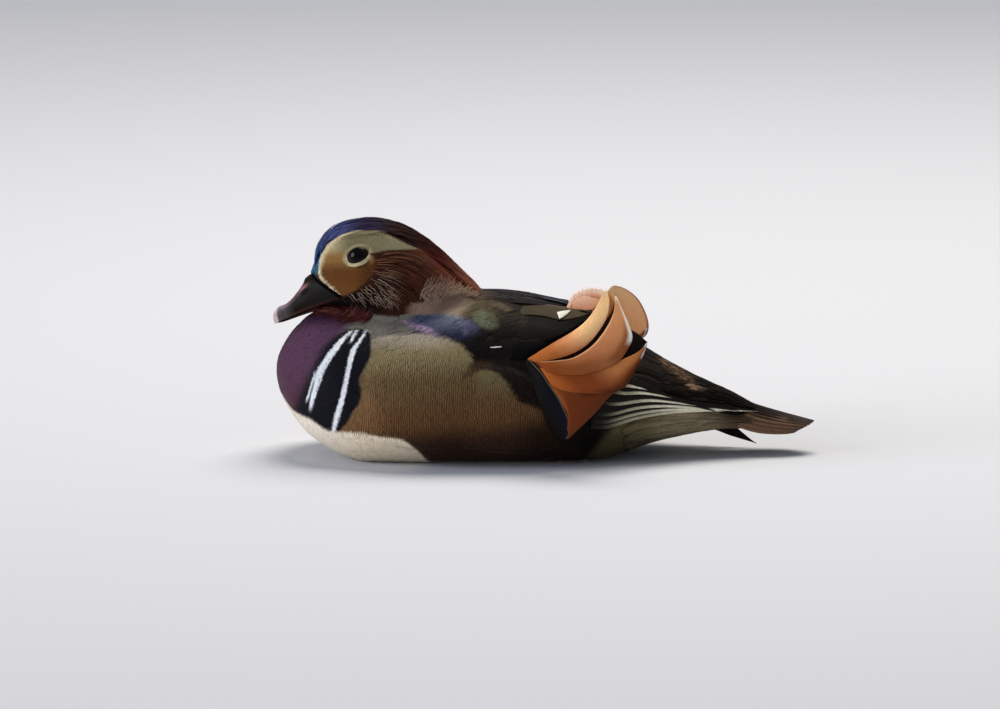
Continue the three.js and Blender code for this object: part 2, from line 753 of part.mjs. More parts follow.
const duck = new THREE.Group();
duck.add(
  piece("torso", torso, COLOURS.torso),
  piece("neck", neckShape, COLOURS.neck),
  piece("head", headShape, COLOURS.head),
  piece("crest", crestShape, COLOURS.crest, 0.4),
  piece("bill_upper", billShape, COLOURS.bill, 0.45),
  piece("bill_nail", nailShape, COLOURS.nail, 0.4),
  piece("bill_lower", jawShape, COLOURS.bill, 0.5),
  piece("eye_left", eyeball(LEFT), COLOURS.eye, 0.1),
  piece("eye_right", eyeball(RIGHT), COLOURS.eye, 0.1),
  piece("wing_left", wings.left, COLOURS.wing),
  piece("wing_right", wings.right, COLOURS.wing),
  piece("sail_left", sails.left, COLOURS.sail),
  piece("sail_right", sails.right, COLOURS.sail),
  piece("tail", tailShape, COLOURS.tail),
  piece("foot_left", feet.left, COLOURS.foot),
  piece("foot_right", feet.right, COLOURS.foot),
);

export default duck;
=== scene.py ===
"""A mandarin duck drake, life size, resting on its belly with its neck drawn in.

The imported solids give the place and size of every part. One skin with a coat of small
feathers takes the place of the flesh, and the crest, ruff, wings, sails and tail are built
feather by feather over it. Lengths are written in millimetres and turned to metres as a
mesh is made. The bill points along -X and the duck's left side faces -Y.
"""

import logging
import math
from collections.abc import Callable, Sequence
from dataclasses import dataclass, field, replace
from enum import Enum

import bpy
import numpy as np
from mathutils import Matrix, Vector
from mathutils.bvhtree import BVHTree

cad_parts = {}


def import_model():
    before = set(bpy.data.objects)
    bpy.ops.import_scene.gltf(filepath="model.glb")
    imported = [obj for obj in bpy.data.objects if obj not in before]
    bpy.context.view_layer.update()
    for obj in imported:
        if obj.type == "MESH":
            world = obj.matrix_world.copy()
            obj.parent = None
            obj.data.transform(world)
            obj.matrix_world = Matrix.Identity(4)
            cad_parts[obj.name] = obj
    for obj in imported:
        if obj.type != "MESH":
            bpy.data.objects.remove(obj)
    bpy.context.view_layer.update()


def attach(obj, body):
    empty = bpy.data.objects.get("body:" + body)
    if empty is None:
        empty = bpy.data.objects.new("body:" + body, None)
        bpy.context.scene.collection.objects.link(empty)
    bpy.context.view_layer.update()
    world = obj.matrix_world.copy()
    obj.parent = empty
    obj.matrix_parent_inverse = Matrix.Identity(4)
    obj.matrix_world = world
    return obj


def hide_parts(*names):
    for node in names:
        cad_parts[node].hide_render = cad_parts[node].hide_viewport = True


LOG = logging.getLogger("mandarin_duck")
MM = 0.001
BODY = "root"
CHIN = 82.0
VIEW_TILT = math.radians(10)
RISE_PER_WIDTH = math.tan(VIEW_TILT)

Array = np.ndarray
Pairs = Sequence[tuple[float, float]]


class Side(Enum):
    """Which side of the duck a piece is on."""

    LEFT = -1
    RIGHT = 1

    @property
    def word(self) -> str:
        """The side's name, for a piece's name."""
        return self.name.lower()


def linear(code: str) -> tuple[float, float, float, float]:
    """Turn an sRGB hex colour into linear red, green, blue and alpha.

    Args:
        code: The colour, such as "#ac997b".

    Returns:
        The four linear values.
    """
    parts = [int(code[i : i + 2], 16) / 255 for i in (1, 3, 5)]
    flat = [c / 12.92 if c <= 0.04045 else ((c + 0.055) / 1.055) ** 2.4 for c in parts]
    return (flat[0], flat[1], flat[2], 1.0)


def rgb(code: str) -> Array:
    """The linear colour of a hex code, as an array of three."""
    return np.array(linear(code)[:3])


def ease(low: float | Array, high: float | Array, value: Array) -> Array:
    """A smooth step from 0 at low to 1 at high."""
    t = np.clip((value - low) / (high - low), 0.0, 1.0)
    return t * t * (3 - 2 * t)


def mix(a: Array, b: Array, share: Array) -> Array:
    """Blend two colours, or arrays of colours, by a share for each point."""
    share = np.asarray(share)[..., None]
    return a * (1 - share) + b * share


def wash(ground: Array | str, *layers: tuple[str, Array]) -> Array:
    """Lay colours over a ground, one after another.

    Args:
        ground: A linear colour for each point, or one hex code.
        layers: Hex codes, each with its share at every point.

    Returns:
        A linear colour for each point.
    """
    colour = rgb(ground) if isinstance(ground, str) else ground
    for code, share in layers:
        colour = mix(colour, rgb(code), share)
    return colour


def oval(
    s: Array, t: Array, at: tuple[float, float], size: tuple[float, float], slope: float = 0.0
) -> Array:
    """How deep points lie in an oval patch of the side view: 1 in its middle, 0 at its rim.

    Args:
        s: The points' lengths, in millimetres.
        t: Their heights in the side view, in millimetres.
        at: The oval's middle.
        size: Half its length and half its height.
        slope: How much it rises along its length.

    Returns:
        The depth of each point, below 0 outside.
    """
    x, y = s - at[0], t - at[1]
    return 1 - (x / size[0]) ** 2 - ((y - slope * x) / size[1]) ** 2


def unit(v: Array) -> Array:
    """Vectors of length one."""
    return v / np.maximum(np.linalg.norm(v, axis=-1, keepdims=True), 1e-9)


def plan_height(p: Array) -> Array:
    """How high points look from the side, seen from ten degrees above the horizon."""
    return p[..., 2] - RISE_PER_WIDTH * np.abs(p[..., 1])


class Curve:
    """A smooth function through pairs that never overshoots them."""

    def __init__(self, pairs: Pairs, start: float | None = None) -> None:
        """Keep the pairs.

        Args:
            pairs: The known values, in order.
            start: Where the curve leaves steeply, as a blunt end does, if it does.
        """
        self.start = start
        self.xs = self._warp(np.array([p[0] for p in pairs], float))
        self.ys = np.array([p[1] for p in pairs], float)
        slopes = np.diff(self.ys) / np.diff(self.xs)
        product = slopes[:-1] * slopes[1:]
        total = slopes[:-1] + slopes[1:]
        inner = np.where(product > 0, 2 * product / np.where(total == 0, 1, total), 0)
        self.bends = np.concatenate([[slopes[0]], inner, [slopes[-1]]])

    def _warp(self, x: Array) -> Array:
        """Stretch the axis at a blunt end."""
        return x if self.start is None else np.sqrt(np.maximum(0, x - self.start))

    def __call__(self, value: float | Array) -> Array:
        """Follow the curve.

        Args:
            value: Where on the axis.

        Returns:
            The curve's value there.
        """
        x = np.clip(self._warp(np.asarray(value, float)), self.xs[0], self.xs[-1])
        i = np.clip(np.searchsorted(self.xs, x) - 1, 0, len(self.xs) - 2)
        width = self.xs[i + 1] - self.xs[i]
        t = (x - self.xs[i]) / width
        return (
            self.ys[i] * (1 + 2 * t) * (1 - t) ** 2
            + self.ys[i + 1] * t * t * (3 - 2 * t)
            + width * (self.bends[i] * t * (1 - t) ** 2 - self.bends[i + 1] * t * t * (1 - t))
        )


@dataclass
class Form:
    """A rounded body given by its outlines from the side and from above.

    It is widest at the waist, a share of its height. The powers over and under it say how
    square the form is there: 2 is an ellipse.
    """

    front: float
    rear: float
    top: Curve
    bottom: Curve
    half: Curve
    waist: float
    over: float
    under: float

    def point(self, x: Array, a: Array) -> Array:
        """The skin at length x and angle a: 0 is the right side, 90 degrees the top.

        Args:
            x: The lengths.
            a: The angles.

        Returns:
            The points.
        """
        low, high, half = self.bottom(x), self.top(x), self.half(x)
        middle = low + self.waist * (high - low)
        c, s = np.cos(a), np.sin(a)
        power = 2 / np.where(s > 0, self.over, self.under)
        reach = np.where(s > 0, high - middle, middle - low)
        return np.stack(
            [
                x + 0 * a,
                half * np.sign(c) * np.abs(c) ** power,
                middle + reach * np.sign(s) * np.abs(s) ** power,
            ],
            axis=-1,
        )

    def normal(self, x: Array, a: Array) -> Array:
        """The outward direction at a length and an angle.

        Args:
            x: The lengths.
            a: The angles.

        Returns:
            The directions, of length one.
        """
        near = np.clip(x, self.front + 1, self.rear - 1)
        along = self.point(near + 0.5, a) - self.point(near - 0.5, a)
        around = self.point(near, a + 0.03) - self.point(near, a - 0.03)
        return unit(np.cross(around, along))

    def above(self, x: Array, a: Array, h: Array) -> Array:
        """The point at height h over the skin."""
        return self.point(x, a) + self.normal(x, a) * np.asarray(h)[..., None]

    def angle_at(self, x: float, z: float, side: Side) -> float:
        """The angle on one side at which the skin is z high.

        Args:
            x: The length.
            z: The height.
            side: The side of the form.

        Returns:
            The angle, in radians.
        """
        low, high = -math.pi / 2, math.pi / 2
        for _ in range(24):
            middle = (low + high) / 2
            if self.point(np.array(x), np.array(middle))[2] < z:
                low = middle
            else:
                high = middle
        return low if side is Side.RIGHT else math.pi - low

    def roof(self, x: Array, y: Array) -> Array:
        """How high the upper skin is over a place.

        Args:
            x: The lengths.
            y: The widths.

        Returns:
            The heights.
        """
        low, high = self.bottom(x), self.top(x)
        middle = low + self.waist * (high - low)
        share = np.clip(np.abs(y) / np.maximum(self.half(x), 1e-6), 0, 1)
        return middle + (high - middle) * (1 - share**self.over) ** (1 / self.over)

    def shell(self, steps: int, sides: int, inset: float) -> tuple[Array, list[tuple[int, ...]]]:
        """A closed mesh of the form, drawn in by the inset.

        Args:
            steps: How many steps it has along its length.
            sides: How many sides each ring has.
            inset: How far inside the form the mesh lies.

        Returns:
            The points and the faces.
        """
        share = np.maximum(np.linspace(0, 1, steps + 1), 0.006) ** 1.7
        x, a = np.meshgrid(
            self.front + (self.rear - self.front) * share,
            2 * math.pi * (np.arange(sides) + 0.5) / sides,
            indexing="ij",
        )
        points = self.above(x, a, np.full(x.shape, -inset)).reshape(-1, 3)
        faces = closed_rings(steps + 1, sides)
        return points, faces


def ring_faces(joins: int, rings: int, sides: int) -> list[tuple[int, ...]]:
    """The faces between rings of points.

    Args:
        joins: How many rings are joined to the next, the last one to the first.
        rings: How many rings there are.
        sides: How many points each ring has.

    Returns:
        The corners of each face, as numbers of points.
    """
    faces = []
    for i in range(joins):
        low, high = i * sides, (i + 1) % rings * sides
        for j in range(sides):
            k = (j + 1) % sides
            faces.append((low + j, low + k, high + k, high + j))
    return faces


def grid_faces(rows: int, columns: int) -> Array:
    """The faces of a grid of points.

    Args:
        rows: How many rows of points it has.
        columns: How many points each row has.

    Returns:
        The corners of each face, as numbers of points.
    """
    i, j = np.meshgrid(np.arange(rows - 1), np.arange(columns - 1), indexing="ij")
    first = (i * columns + j).ravel()
    return np.stack([first, first + 1, first + columns + 1, first + columns], axis=-1)


def closed_rings(rings: int, sides: int) -> list[tuple[int, ...]]:
    """The faces that join rings of points into a closed tube with capped ends.

    Args:
        rings: How many rings there are.
        sides: How many points each ring has.

    Returns:
        The corners of each face, as numbers of points.
    """
    faces = ring_faces(rings - 1, rings, sides)
    faces.append(tuple(reversed(range(sides))))
    faces.append(tuple((rings - 1) * sides + j for j in range(sides)))
    return faces


# The body and the head are the same rounded forms as the solids.
BREAST_X = -146.3
TORSO = Form(
    front=BREAST_X,
    rear=112.0,
    top=Curve(
        [
            (BREAST_X, 47), (-142.5, 60), (-136, 69.5), (-125, 78.5), (-105, 82), (-60, 85),
            (-28, 88.5), (10, 84), (45, 66.5), (80, 43), (112, 22),
        ],
        BREAST_X,
    ),
    bottom=Curve(
        [
            (BREAST_X, 47), (-144.6, 36), (-139, 25), (-128, 11.5), (-114, 2.6), (-95, -4),
            (30, -4), (46, 2), (62, 7.5), (85, 12.5), (112, 17.5),
        ],
        BREAST_X,
    ),
    half=Curve(
        [
            (BREAST_X, 0), (-142.5, 16), (-136, 27.5), (-122, 40), (-98, 49), (-50, 55),
            (-10, 55), (25, 48), (60, 32), (85, 21), (112, 12),
        ],
        BREAST_X,
    ),
    waist=0.42,
    over=2.1,
    under=2.75,
)
HEAD = Form(
    front=-131.0,
    rear=-30.0,
    top=Curve(
        [
            (-131, 92), (-128, 99.5), (-121, 116.5), (-114, 125.5), (-104, 129.6),
            (-93, 130.6), (-79, 127.6), (-64, 119.4), (-48, 105.2), (-30, 88),
        ]
    ),
    bottom=Curve([(-131, 85), (-122, 78), (-108, 70), (-90, 66), (-60, 66), (-30, 80)]),
    half=Curve(
        [
            (-131, 5), (-126, 9), (-118, 13.5), (-106, 18.5), (-92, 23), (-76, 27),
            (-62, 26.5), (-46, 19), (-30, 3),
        ]
    ),
    waist=0.36,
    over=1.95,
    under=2.2,
)


def new_mesh_object(name: str, points: Array, faces: Sequence[Sequence[int]]) -> bpy.types.Object:
    """A mesh object from points in millimetres.

    Args:
        name: The object's name.
        points: The points, in millimetres.
        faces: The faces, as indices of points.

    Returns:
        The object, linked to the scene.
    """
    mesh = bpy.data.meshes.new(name)
    mesh.from_pydata((np.asarray(points) * MM).tolist(), [], [tuple(f) for f in faces])
    mesh.update()
    piece = bpy.data.objects.new(name, mesh)
    bpy.context.scene.collection.objects.link(piece)
    return piece


def select_only(*pieces: bpy.types.Object) -> None:
    """Select these pieces alone and make the first one active.

    Args:
        pieces: The pieces.
    """
    bpy.ops.object.select_all(action="DESELECT")
    for piece in pieces:
        piece.select_set(True)
    bpy.context.view_layer.objects.active = pieces[0]


def turn_outwards(*pieces: bpy.types.Object) -> None:
    """Select closed pieces and turn their faces outwards.

    Args:
        pieces: The pieces, of which the first becomes active.
    """
    select_only(*pieces)
    bpy.ops.object.mode_set(mode="EDIT")
    bpy.ops.mesh.select_all(action="SELECT")
    bpy.ops.mesh.normals_make_consistent(inside=False)
    bpy.ops.object.mode_set(mode="OBJECT")


def apply_all(piece: bpy.types.Object) -> None:
    """Apply every modifier of a piece in order.

    Args:
        piece: The piece.
    """
    select_only(piece)
    for modifier in list(piece.modifiers):
        bpy.ops.object.modifier_apply(modifier=modifier.name)


def shade_smooth(piece: bpy.types.Object) -> None:
    """Shade a piece smooth all over."""
    piece.data.polygons.foreach_set("use_smooth", [True] * len(piece.data.polygons))
    piece.data.update()


def paint(piece: bpy.types.Object, colours: Array) -> None:
    """Store a linear colour at each point of a piece, under the name tint.

    Args:
        piece: The piece.
        colours: A linear colour for each point.
    """
    layer = piece.data.color_attributes.new("tint", "FLOAT_COLOR", "POINT")
    full = np.ones((len(colours), 4), np.float32)
    full[:, :3] = colours
    layer.data.foreach_set("color", full.ravel())


def points_of(piece: bpy.types.Object) -> Array:
    """The points of a piece's mesh, in millimetres.

    Args:
        piece: The piece.

    Returns:
        The points, in the order of the mesh.
    """
    flat = np.empty(len(piece.data.vertices) * 3, np.float32)
    piece.data.vertices.foreach_get("co", flat)
    return flat.reshape(-1, 3).astype(float) / MM


# ------------------------------------------------------------------ finishes
Socket = bpy.types.NodeSocket
Tree = bpy.types.NodeTree


def wire(node: bpy.types.Node, inputs: dict[str | int, object]) -> None:
    """Set or link a node's inputs.

    Args:
        node: The node.
        inputs: By name or number, the value, the socket or the node whose first output is used.
    """
    for key, value in inputs.items():
        if isinstance(value, bpy.types.Node):
            value = value.outputs[0]
        if isinstance(value, Socket):
            node.id_data.links.new(value, node.inputs[key])
        else:
            node.inputs[key].default_value = value


def add_node(
    tree: Tree, kind: str, inputs: dict[str | int, object] | None = None, **settings: object
) -> bpy.types.Node:
    """Add a node with its settings and links.

    Args:
        tree: The material's node tree.
        kind: The node's type without "ShaderNode", such as "Math".
        inputs: What its inputs are set or linked to.
        settings: Its properties.

    Returns:
        The node.
    """
    node = tree.nodes.new("ShaderNode" + kind)
    for key, value in settings.items():
        setattr(node, key, value)
    wire(node, inputs or {})
    return node


def material_named(
    name: str, fill: Callable[[Tree, bpy.types.Node], None]
) -> bpy.types.Material:
    """The material of this name, made on its first use.

    Args:
        name: The material's name.
        fill: What sets its nodes, given the tree and the surface shader.

    Returns:
        The material, shared by all pieces of this finish.
    """
    material = bpy.data.materials.get(name)
    if material is None:
        material = bpy.data.materials.new(name)
        material.use_nodes = True
        fill(material.node_tree, material.node_tree.nodes["Principled BSDF"])
    return material


@dataclass(frozen=True)
class PlumageFinish:
    """Feathers whose colour is painted on them, with barbs that catch the light.

    Barbs are drawn as fine ridges that leave the shaft at a slant. Real ones are about
    0.3 mm apart, too fine for the picture, so barb_mm is coarser.
    """

    name: str
    roughness: float = 0.62
    sheen: float = 0.25
    gloss: float = 0.25
    barb_mm: float = 0.9
    contrast: float = 0.22
    bump: float = 0.25
    slant: float = 1.3
    bars_mm: float = 0.0
    bars_depth: float = 0.0
    through: float = 0.0

    def build(self) -> bpy.types.Material:
        """The material, made on its first use."""
        return material_named(self.name, self._fill)

    def _fill(self, tree: Tree, shader: bpy.types.Node) -> None:
        """Set the nodes of a vane: its painted colour, its barbs and its sheen.

        Args:
            tree: The material's node tree.
            shader: Its surface shader.
        """
        tint = add_node(tree, "Attribute", attribute_name="tint")
        vane = add_node(tree, "UVMap", uv_map="Vane")
        parts = add_node(tree, "SeparateXYZ", {0: vane})
        across, along = parts.outputs[0], parts.outputs[1]
        beside = add_node(tree, "Math", {0: across}, operation="ABSOLUTE")
        slanted = add_node(
            tree, "Math", {0: beside, 1: -self.slant, 2: along}, operation="MULTIPLY_ADD"
        )
        place = add_node(tree, "CombineXYZ", {0: slanted, 1: across})
        # A barb is long and narrow, so its noise is stretched along it.
        narrow = add_node(tree, "Mapping", {0: place, "Scale": (1 / self.barb_mm, 0.18, 1)})
        barbs = add_node(tree, "TexNoise", {"Vector": narrow, "Scale": 1.0, "Detail": 3.0})
        factor = add_node(
            tree, "MapRange",
            {0: barbs, "From Min": 0.28, "From Max": 0.72, "To Min": 1 - self.contrast,
             "To Max": 1 + self.contrast},
        )
        if self.bars_mm:
            factor = self._bars(tree, along, factor)
        colour = add_node(
            tree, "VectorMath", {0: tint.outputs["Color"], 1: factor}, operation="MULTIPLY"
        )
        bump = add_node(
            tree, "Bump", {"Height": barbs, "Strength": self.bump, "Distance": 0.4 * MM}
        )
        wire(
            shader,
            {"Base Color": colour, "Normal": bump, "Roughness": self.roughness,
             "Specular IOR Level": self.gloss, "Sheen Weight": self.sheen,
             "Sheen Roughness": 0.5},
        )
        if self.through:
            # Light comes through a thin vane from behind and leaves it warmer.
            wire(
                shader,
                {"Subsurface Weight": self.through, "Subsurface Radius": (1.0, 0.75, 0.65),
                 "Subsurface Scale": 1.5 * MM},
            )

    def _bars(self, tree: Tree, along: Socket, shade: bpy.types.Node) -> bpy.types.Node:
        """Fine wavy dark bars across each feather.

        Args:
            tree: The material's node tree.
            along: The place along a feather.
            shade: The node that gives the shade so far.

        Returns:
            The node that gives the shade with the bars in it.
        """
        # The bars waver every 4.5 mm or so, in step over neighbouring feathers.
        place = add_node(tree, "TexCoord").outputs["Object"]
        drift = add_node(tree, "TexNoise", {"Vector": place, "Scale": 0.24 / MM, "Detail": 1.5})
        moved = add_node(tree, "Math", {0: drift, 1: 2.2, 2: along}, operation="MULTIPLY_ADD")
        turns = add_node(
            tree, "Math", {0: moved, 1: 2 * math.pi / self.bars_mm}, operation="MULTIPLY"
        )
        wave = add_node(tree, "Math", {0: turns}, operation="SINE")
        line = add_node(
            tree, "MapRange",
            {0: wave, "From Min": -0.5, "From Max": 0.6, "To Min": 1 - self.bars_depth,
             "To Max": 1 + 0.35 * self.bars_depth},
        )
        return add_node(tree, "Math", {0: line, 1: shade}, operation="MULTIPLY")


# Loose soft feathers scatter the light, so the body looks matt.
BODY_DOWN = PlumageFinish("Contour feathers, soft", sheen=0.02, gloss=0.02)
# The close feathers of the breast have a faint, broad, silky sheen.
BREAST_SILK = PlumageFinish(
    "Breast feathers, silky", roughness=0.5, gloss=0.07, sheen=0.02, barb_mm=0.7, contrast=0.12
)
# Fine dark bars grey the flank's gold and ripple over it.
FLANK_BARRED = PlumageFinish(
    "Flank feathers, finely barred", sheen=0.02, gloss=0.04, bars_mm=1.25, bars_depth=0.44,
    contrast=0.08,
)
# Short feathers like velvet swallow the light and hardly show their barbs.
FACE_VELVET = PlumageFinish(
    "Face feathers, velvety", roughness=0.75, sheen=0.03, gloss=0.04, barb_mm=0.5, contrast=0.08,
    bump=0.12,
)
# The crest's strong barbs break its gloss into thin streaks.
CREST_GLOSS = PlumageFinish(
    "Crest feathers, glossy", roughness=0.5, gloss=0.03, sheen=0.0, barb_mm=0.7, contrast=0.3
)
# Hackles are smooth and pointed, and shine softly along their shafts.
HACKLE = PlumageFinish(
    "Hackles", roughness=0.5, gloss=0.05, sheen=0.0, barb_mm=0.6, contrast=0.14
)
# Flights have firm vanes with even barbs, which shine little from the side.
FLIGHT = PlumageFinish(
    "Flight feathers, sleek", roughness=0.55, gloss=0.02, sheen=0.0, barb_mm=0.8, contrast=0.25
)
# The sail's long parallel barbs look like silk and let a little light through.
SAIL_SILK = PlumageFinish(
    "Sail feather, silky", roughness=0.55, gloss=0.06, sheen=0.03, barb_mm=0.7, contrast=0.1,
    bump=0.15, slant=0.1, through=0.12,
)
# The far sail stands against the light and glows.
SAIL_LIT = replace(SAIL_SILK, name="Sail feather, lit through", through=0.6)
# Loose barbs at the sail's rim are soft, pale and dull.
FRINGE = PlumageFinish(
    "Sail fringe, loose barbs", roughness=0.6, gloss=0.04, sheen=0.05, barb_mm=0.7, contrast=0.1,
    bump=0.1, slant=0.1,
)


# ------------------------------------------------------------------ feathers
@dataclass
class Plumage:
    """Vanes gathered into one mesh, with their colours and places."""

    name: str
    slot: str
    finish: PlumageFinish
    points: list[Array] = field(default_factory=list)
    colours: list[Array] = field(default_factory=list)
    vanes: list[Array] = field(default_factory=list)
    patches: list[Array] = field(default_factory=list)
    quads: list[Array] = field(default_factory=list)
    count: int = 0

    # The baked map: each feather has a small patch where its root lies on the unrolled body.
    PATCH = 0.003
    MARGIN = 0.03
    REACH = 150.0
    AXIS_Z = 58.0
    # Bands keep apart in the barbs' noise, and a band's shaft lies nearer its upper edge.
    BAND_APART = 60.0
    SHAFT = 0.55
    FLOOR = 0.2

    def add(
        self, centres: Array, normals: Array, half: Array,
        tint: Callable[[Array, Array, Array], Array], columns: int, crown: float, seed: int,
        ragged: float = 0.0, bars: Callable[[Array, Array], Array] | None = None,
    ) -> None:
        """Add feathers that have the same number of stations.

        Args:
            centres: The shafts, as feathers by stations by three, in millimetres.
            normals: The outward direction at each of those points.
            half: Half the width at each of those points.
            tint: What gives the colours from the points, from how far across they are, -1 to 1,
                and from how far along, 0 to 1.
            columns: How many points there are across a feather.
            crown: How far the edges drop, as a share of the half width.
            seed: The seed of the uneven tips.
            ragged: How uneven the tip is, in millimetres.
            bars: What gives the phase of the bars from the points and the roots, if any.
        """
        n, k, _ = centres.shape
        ways = unit(np.gradient(centres, axis=1))
        across = unit(np.cross(normals, ways))
        up = np.cross(ways, across)
        c = np.linspace(-1, 1, columns)
        offset = half[..., None] * c
        points = (
            centres[:, :, None]
            + across[:, :, None] * offset[..., None]
            - up[:, :, None] * (crown * half[..., None] * c * c)[..., None]
        )
        if ragged:
            draw = np.random.default_rng(seed).uniform(-1, 0.4, (n, columns))
            points[:, -1] += ways[:, -1, None] * (ragged * draw)[..., None]
        along = np.linspace(0, 1, k)[None, :, None] + np.zeros((n, k, columns))
        side = c[None, None, :] + np.zeros((n, k, columns))
        colours = np.broadcast_to(tint(points, side, along), (n, k, columns, 3))
        steps = np.linalg.norm(np.diff(centres, axis=1), axis=2)
        run = np.concatenate([np.zeros((n, 1)), np.cumsum(steps, axis=1)], axis=1)
        phase = np.einsum("ij,ij->i", centres[:, 0], ways[:, 0])
        vane = np.stack([offset, (run + phase[:, None])[..., None] + 0 * offset], axis=-1)
        if bars:
            shift = np.random.default_rng(seed).normal(0, 0.09, (n, 1, 1))
            vane[..., 1] = bars(points, centres[:, 0]) + shift
        spot = self._spot(centres[:, 0])
        patch = spot[:, None, None] + self.PATCH * np.stack([side / 2, along - 0.5], axis=-1)
        first = np.arange(n) * k * columns
        quads = (first[:, None, None] + grid_faces(k, columns)[None]).reshape(-1, 4)
        self._gather(points, colours, vane, patch, quads)

    def _gather(
        self, points: Array, colours: Array, vane: Array, patch: Array, quads: Array
    ) -> None:
        """Keep a set of vanes.

        Args:
            points: Their points.
            colours: The colour of each point.
            vane: How far across and along its feather each point is, in millimetres.
            patch: Where each point lies in the map that is baked to.
            quads: Their faces, counted from the set's first point.
        """
        self.quads.append(quads + self.count)
        self.points.append(points.reshape(-1, 3))
        self.colours.append(colours.reshape(-1, 3))
        self.vanes.append(vane.reshape(-1, 2))
        self.patches.append(patch.reshape(-1, 2))
        self.count += len(self.points[-1])

    def add_band(
        self, points: Array, colours: Array, number: int, flip: bool, lengthwise: bool = False
    ) -> None:
        """Add one broad feather or part of one, given as a grid.

        Args:
            points: Stations by columns by three, in millimetres.
            colours: A colour for every point.
            number: The band's number, which gives it a patch and barbs of its own.
            flip: Whether the faces turn the other way round.
            lengthwise: Whether the barbs run its length, and not from a shaft outwards.
        """
        k, c, _ = points.shape
        middle = points.mean(axis=1)
        run = np.concatenate([[0], np.cumsum(np.linalg.norm(np.diff(middle, axis=0), axis=1))])
        width = np.linalg.norm(points[:, -1] - points[:, 0], axis=1)
        side = np.linspace(0, 1, c)[None] + np.zeros((k, 1))
        apart = self.BAND_APART * number
        if lengthwise:
            vane = np.stack([run[:, None] + 0 * side, width[:, None] * side + apart], axis=-1)
        else:
            offset = width[:, None] * (side - self.SHAFT)
            vane = np.stack([offset, run[:, None] + apart + 0 * side], axis=-1)
        along = np.linspace(0, 1, k)[:, None] + 0 * side
        patch = self._spot(points[:1, 0])[0] + self.PATCH * np.stack([side / 2, along], axis=-1)
        quads = grid_faces(k, c)
        self._gather(points, colours, vane, patch, quads[:, ::-1] if flip else quads)

    @classmethod
    def _spot(cls, root: Array) -> Array:
        """Where roots lie on the skin, unrolled about the body's long axis.

        Args:
            root: The roots, in millimetres.

        Returns:
            Their places in the map, from 0 to 1.
        """
        along = (root[:, 0] + cls.REACH) / (2 * cls.REACH)
        angle = np.arctan2(root[:, 1], root[:, 2] - cls.AXIS_Z) / (2 * math.pi) + 0.5
        return cls.MARGIN + (1 - 2 * cls.MARGIN) * np.stack([along, angle], axis=-1)

    def build(self, thickness: float = 0.0) -> bpy.types.Object:
        """Make the mesh.

        Args:
            thickness: How thick the vanes are made, in millimetres, or 0 for sheets.

        Returns:
            The piece, with its material.
        """
        points = np.concatenate(self.points)
        points[:, 2] = np.maximum(points[:, 2], self.FLOOR)
        points = points.astype(np.float32) * MM
        quads = np.concatenate(self.quads).astype(np.int32)
        mesh = bpy.data.meshes.new(self.name)
        mesh.vertices.add(len(points))
        mesh.vertices.foreach_set("co", points.ravel())
        mesh.loops.add(quads.size)
        mesh.loops.foreach_set("vertex_index", quads.ravel())
        mesh.polygons.add(len(quads))
        mesh.polygons.foreach_set("loop_start", np.arange(0, quads.size, 4, dtype=np.int32))
        mesh.polygons.foreach_set("use_smooth", np.ones(len(quads), bool))
        for name, values in (("OFBake", self.patches), ("Vane", self.vanes)):
            layer = mesh.uv_layers.new(name=name)
            flat = np.concatenate(values).astype(np.float32)[quads.ravel()]
            layer.data.foreach_set("uv", flat.ravel())
        mesh.update(calc_edges=True)
        mesh.validate()
        piece = bpy.data.objects.new(self.name, mesh)
        bpy.context.scene.collection.objects.link(piece)
        paint(piece, np.concatenate(self.colours))
        mesh.materials.append(self.finish.build())
        if thickness:
            solid = piece.modifiers.new("Thickness", "SOLIDIFY")
            solid.thickness = thickness * MM
            solid.offset = 0
            apply_all(piece)
        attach(piece, BODY)
        LOG.info("%s: %d faces", self.name, len(piece.data.polygons))
        return piece


LEAST_WIDTH = 0.06


class Outline(Enum):
    """The outline of a small feather."""

    COVERT = "rounded at its tip"
    HACKLE = "narrow and pointed"

    def half(self, stations: int) -> Array:
        """The share of its half width that a feather has at each station.

        Args:
            stations: How many stations there are.

        Returns:
            The shares, from the root to the tip.
        """
        t = np.linspace(0, 1, stations)
        if self is Outline.COVERT:
            tip = np.sqrt(1 - np.clip((t - 0.5) / 0.5, 0, 1) ** 2.4)
            return np.maximum(np.minimum(1, 0.45 + 1.6 * t) * tip, LEAST_WIDTH)
        return np.maximum((0.6 + 0.9 * t) * (1 - t) ** 0.7, LEAST_WIDTH)


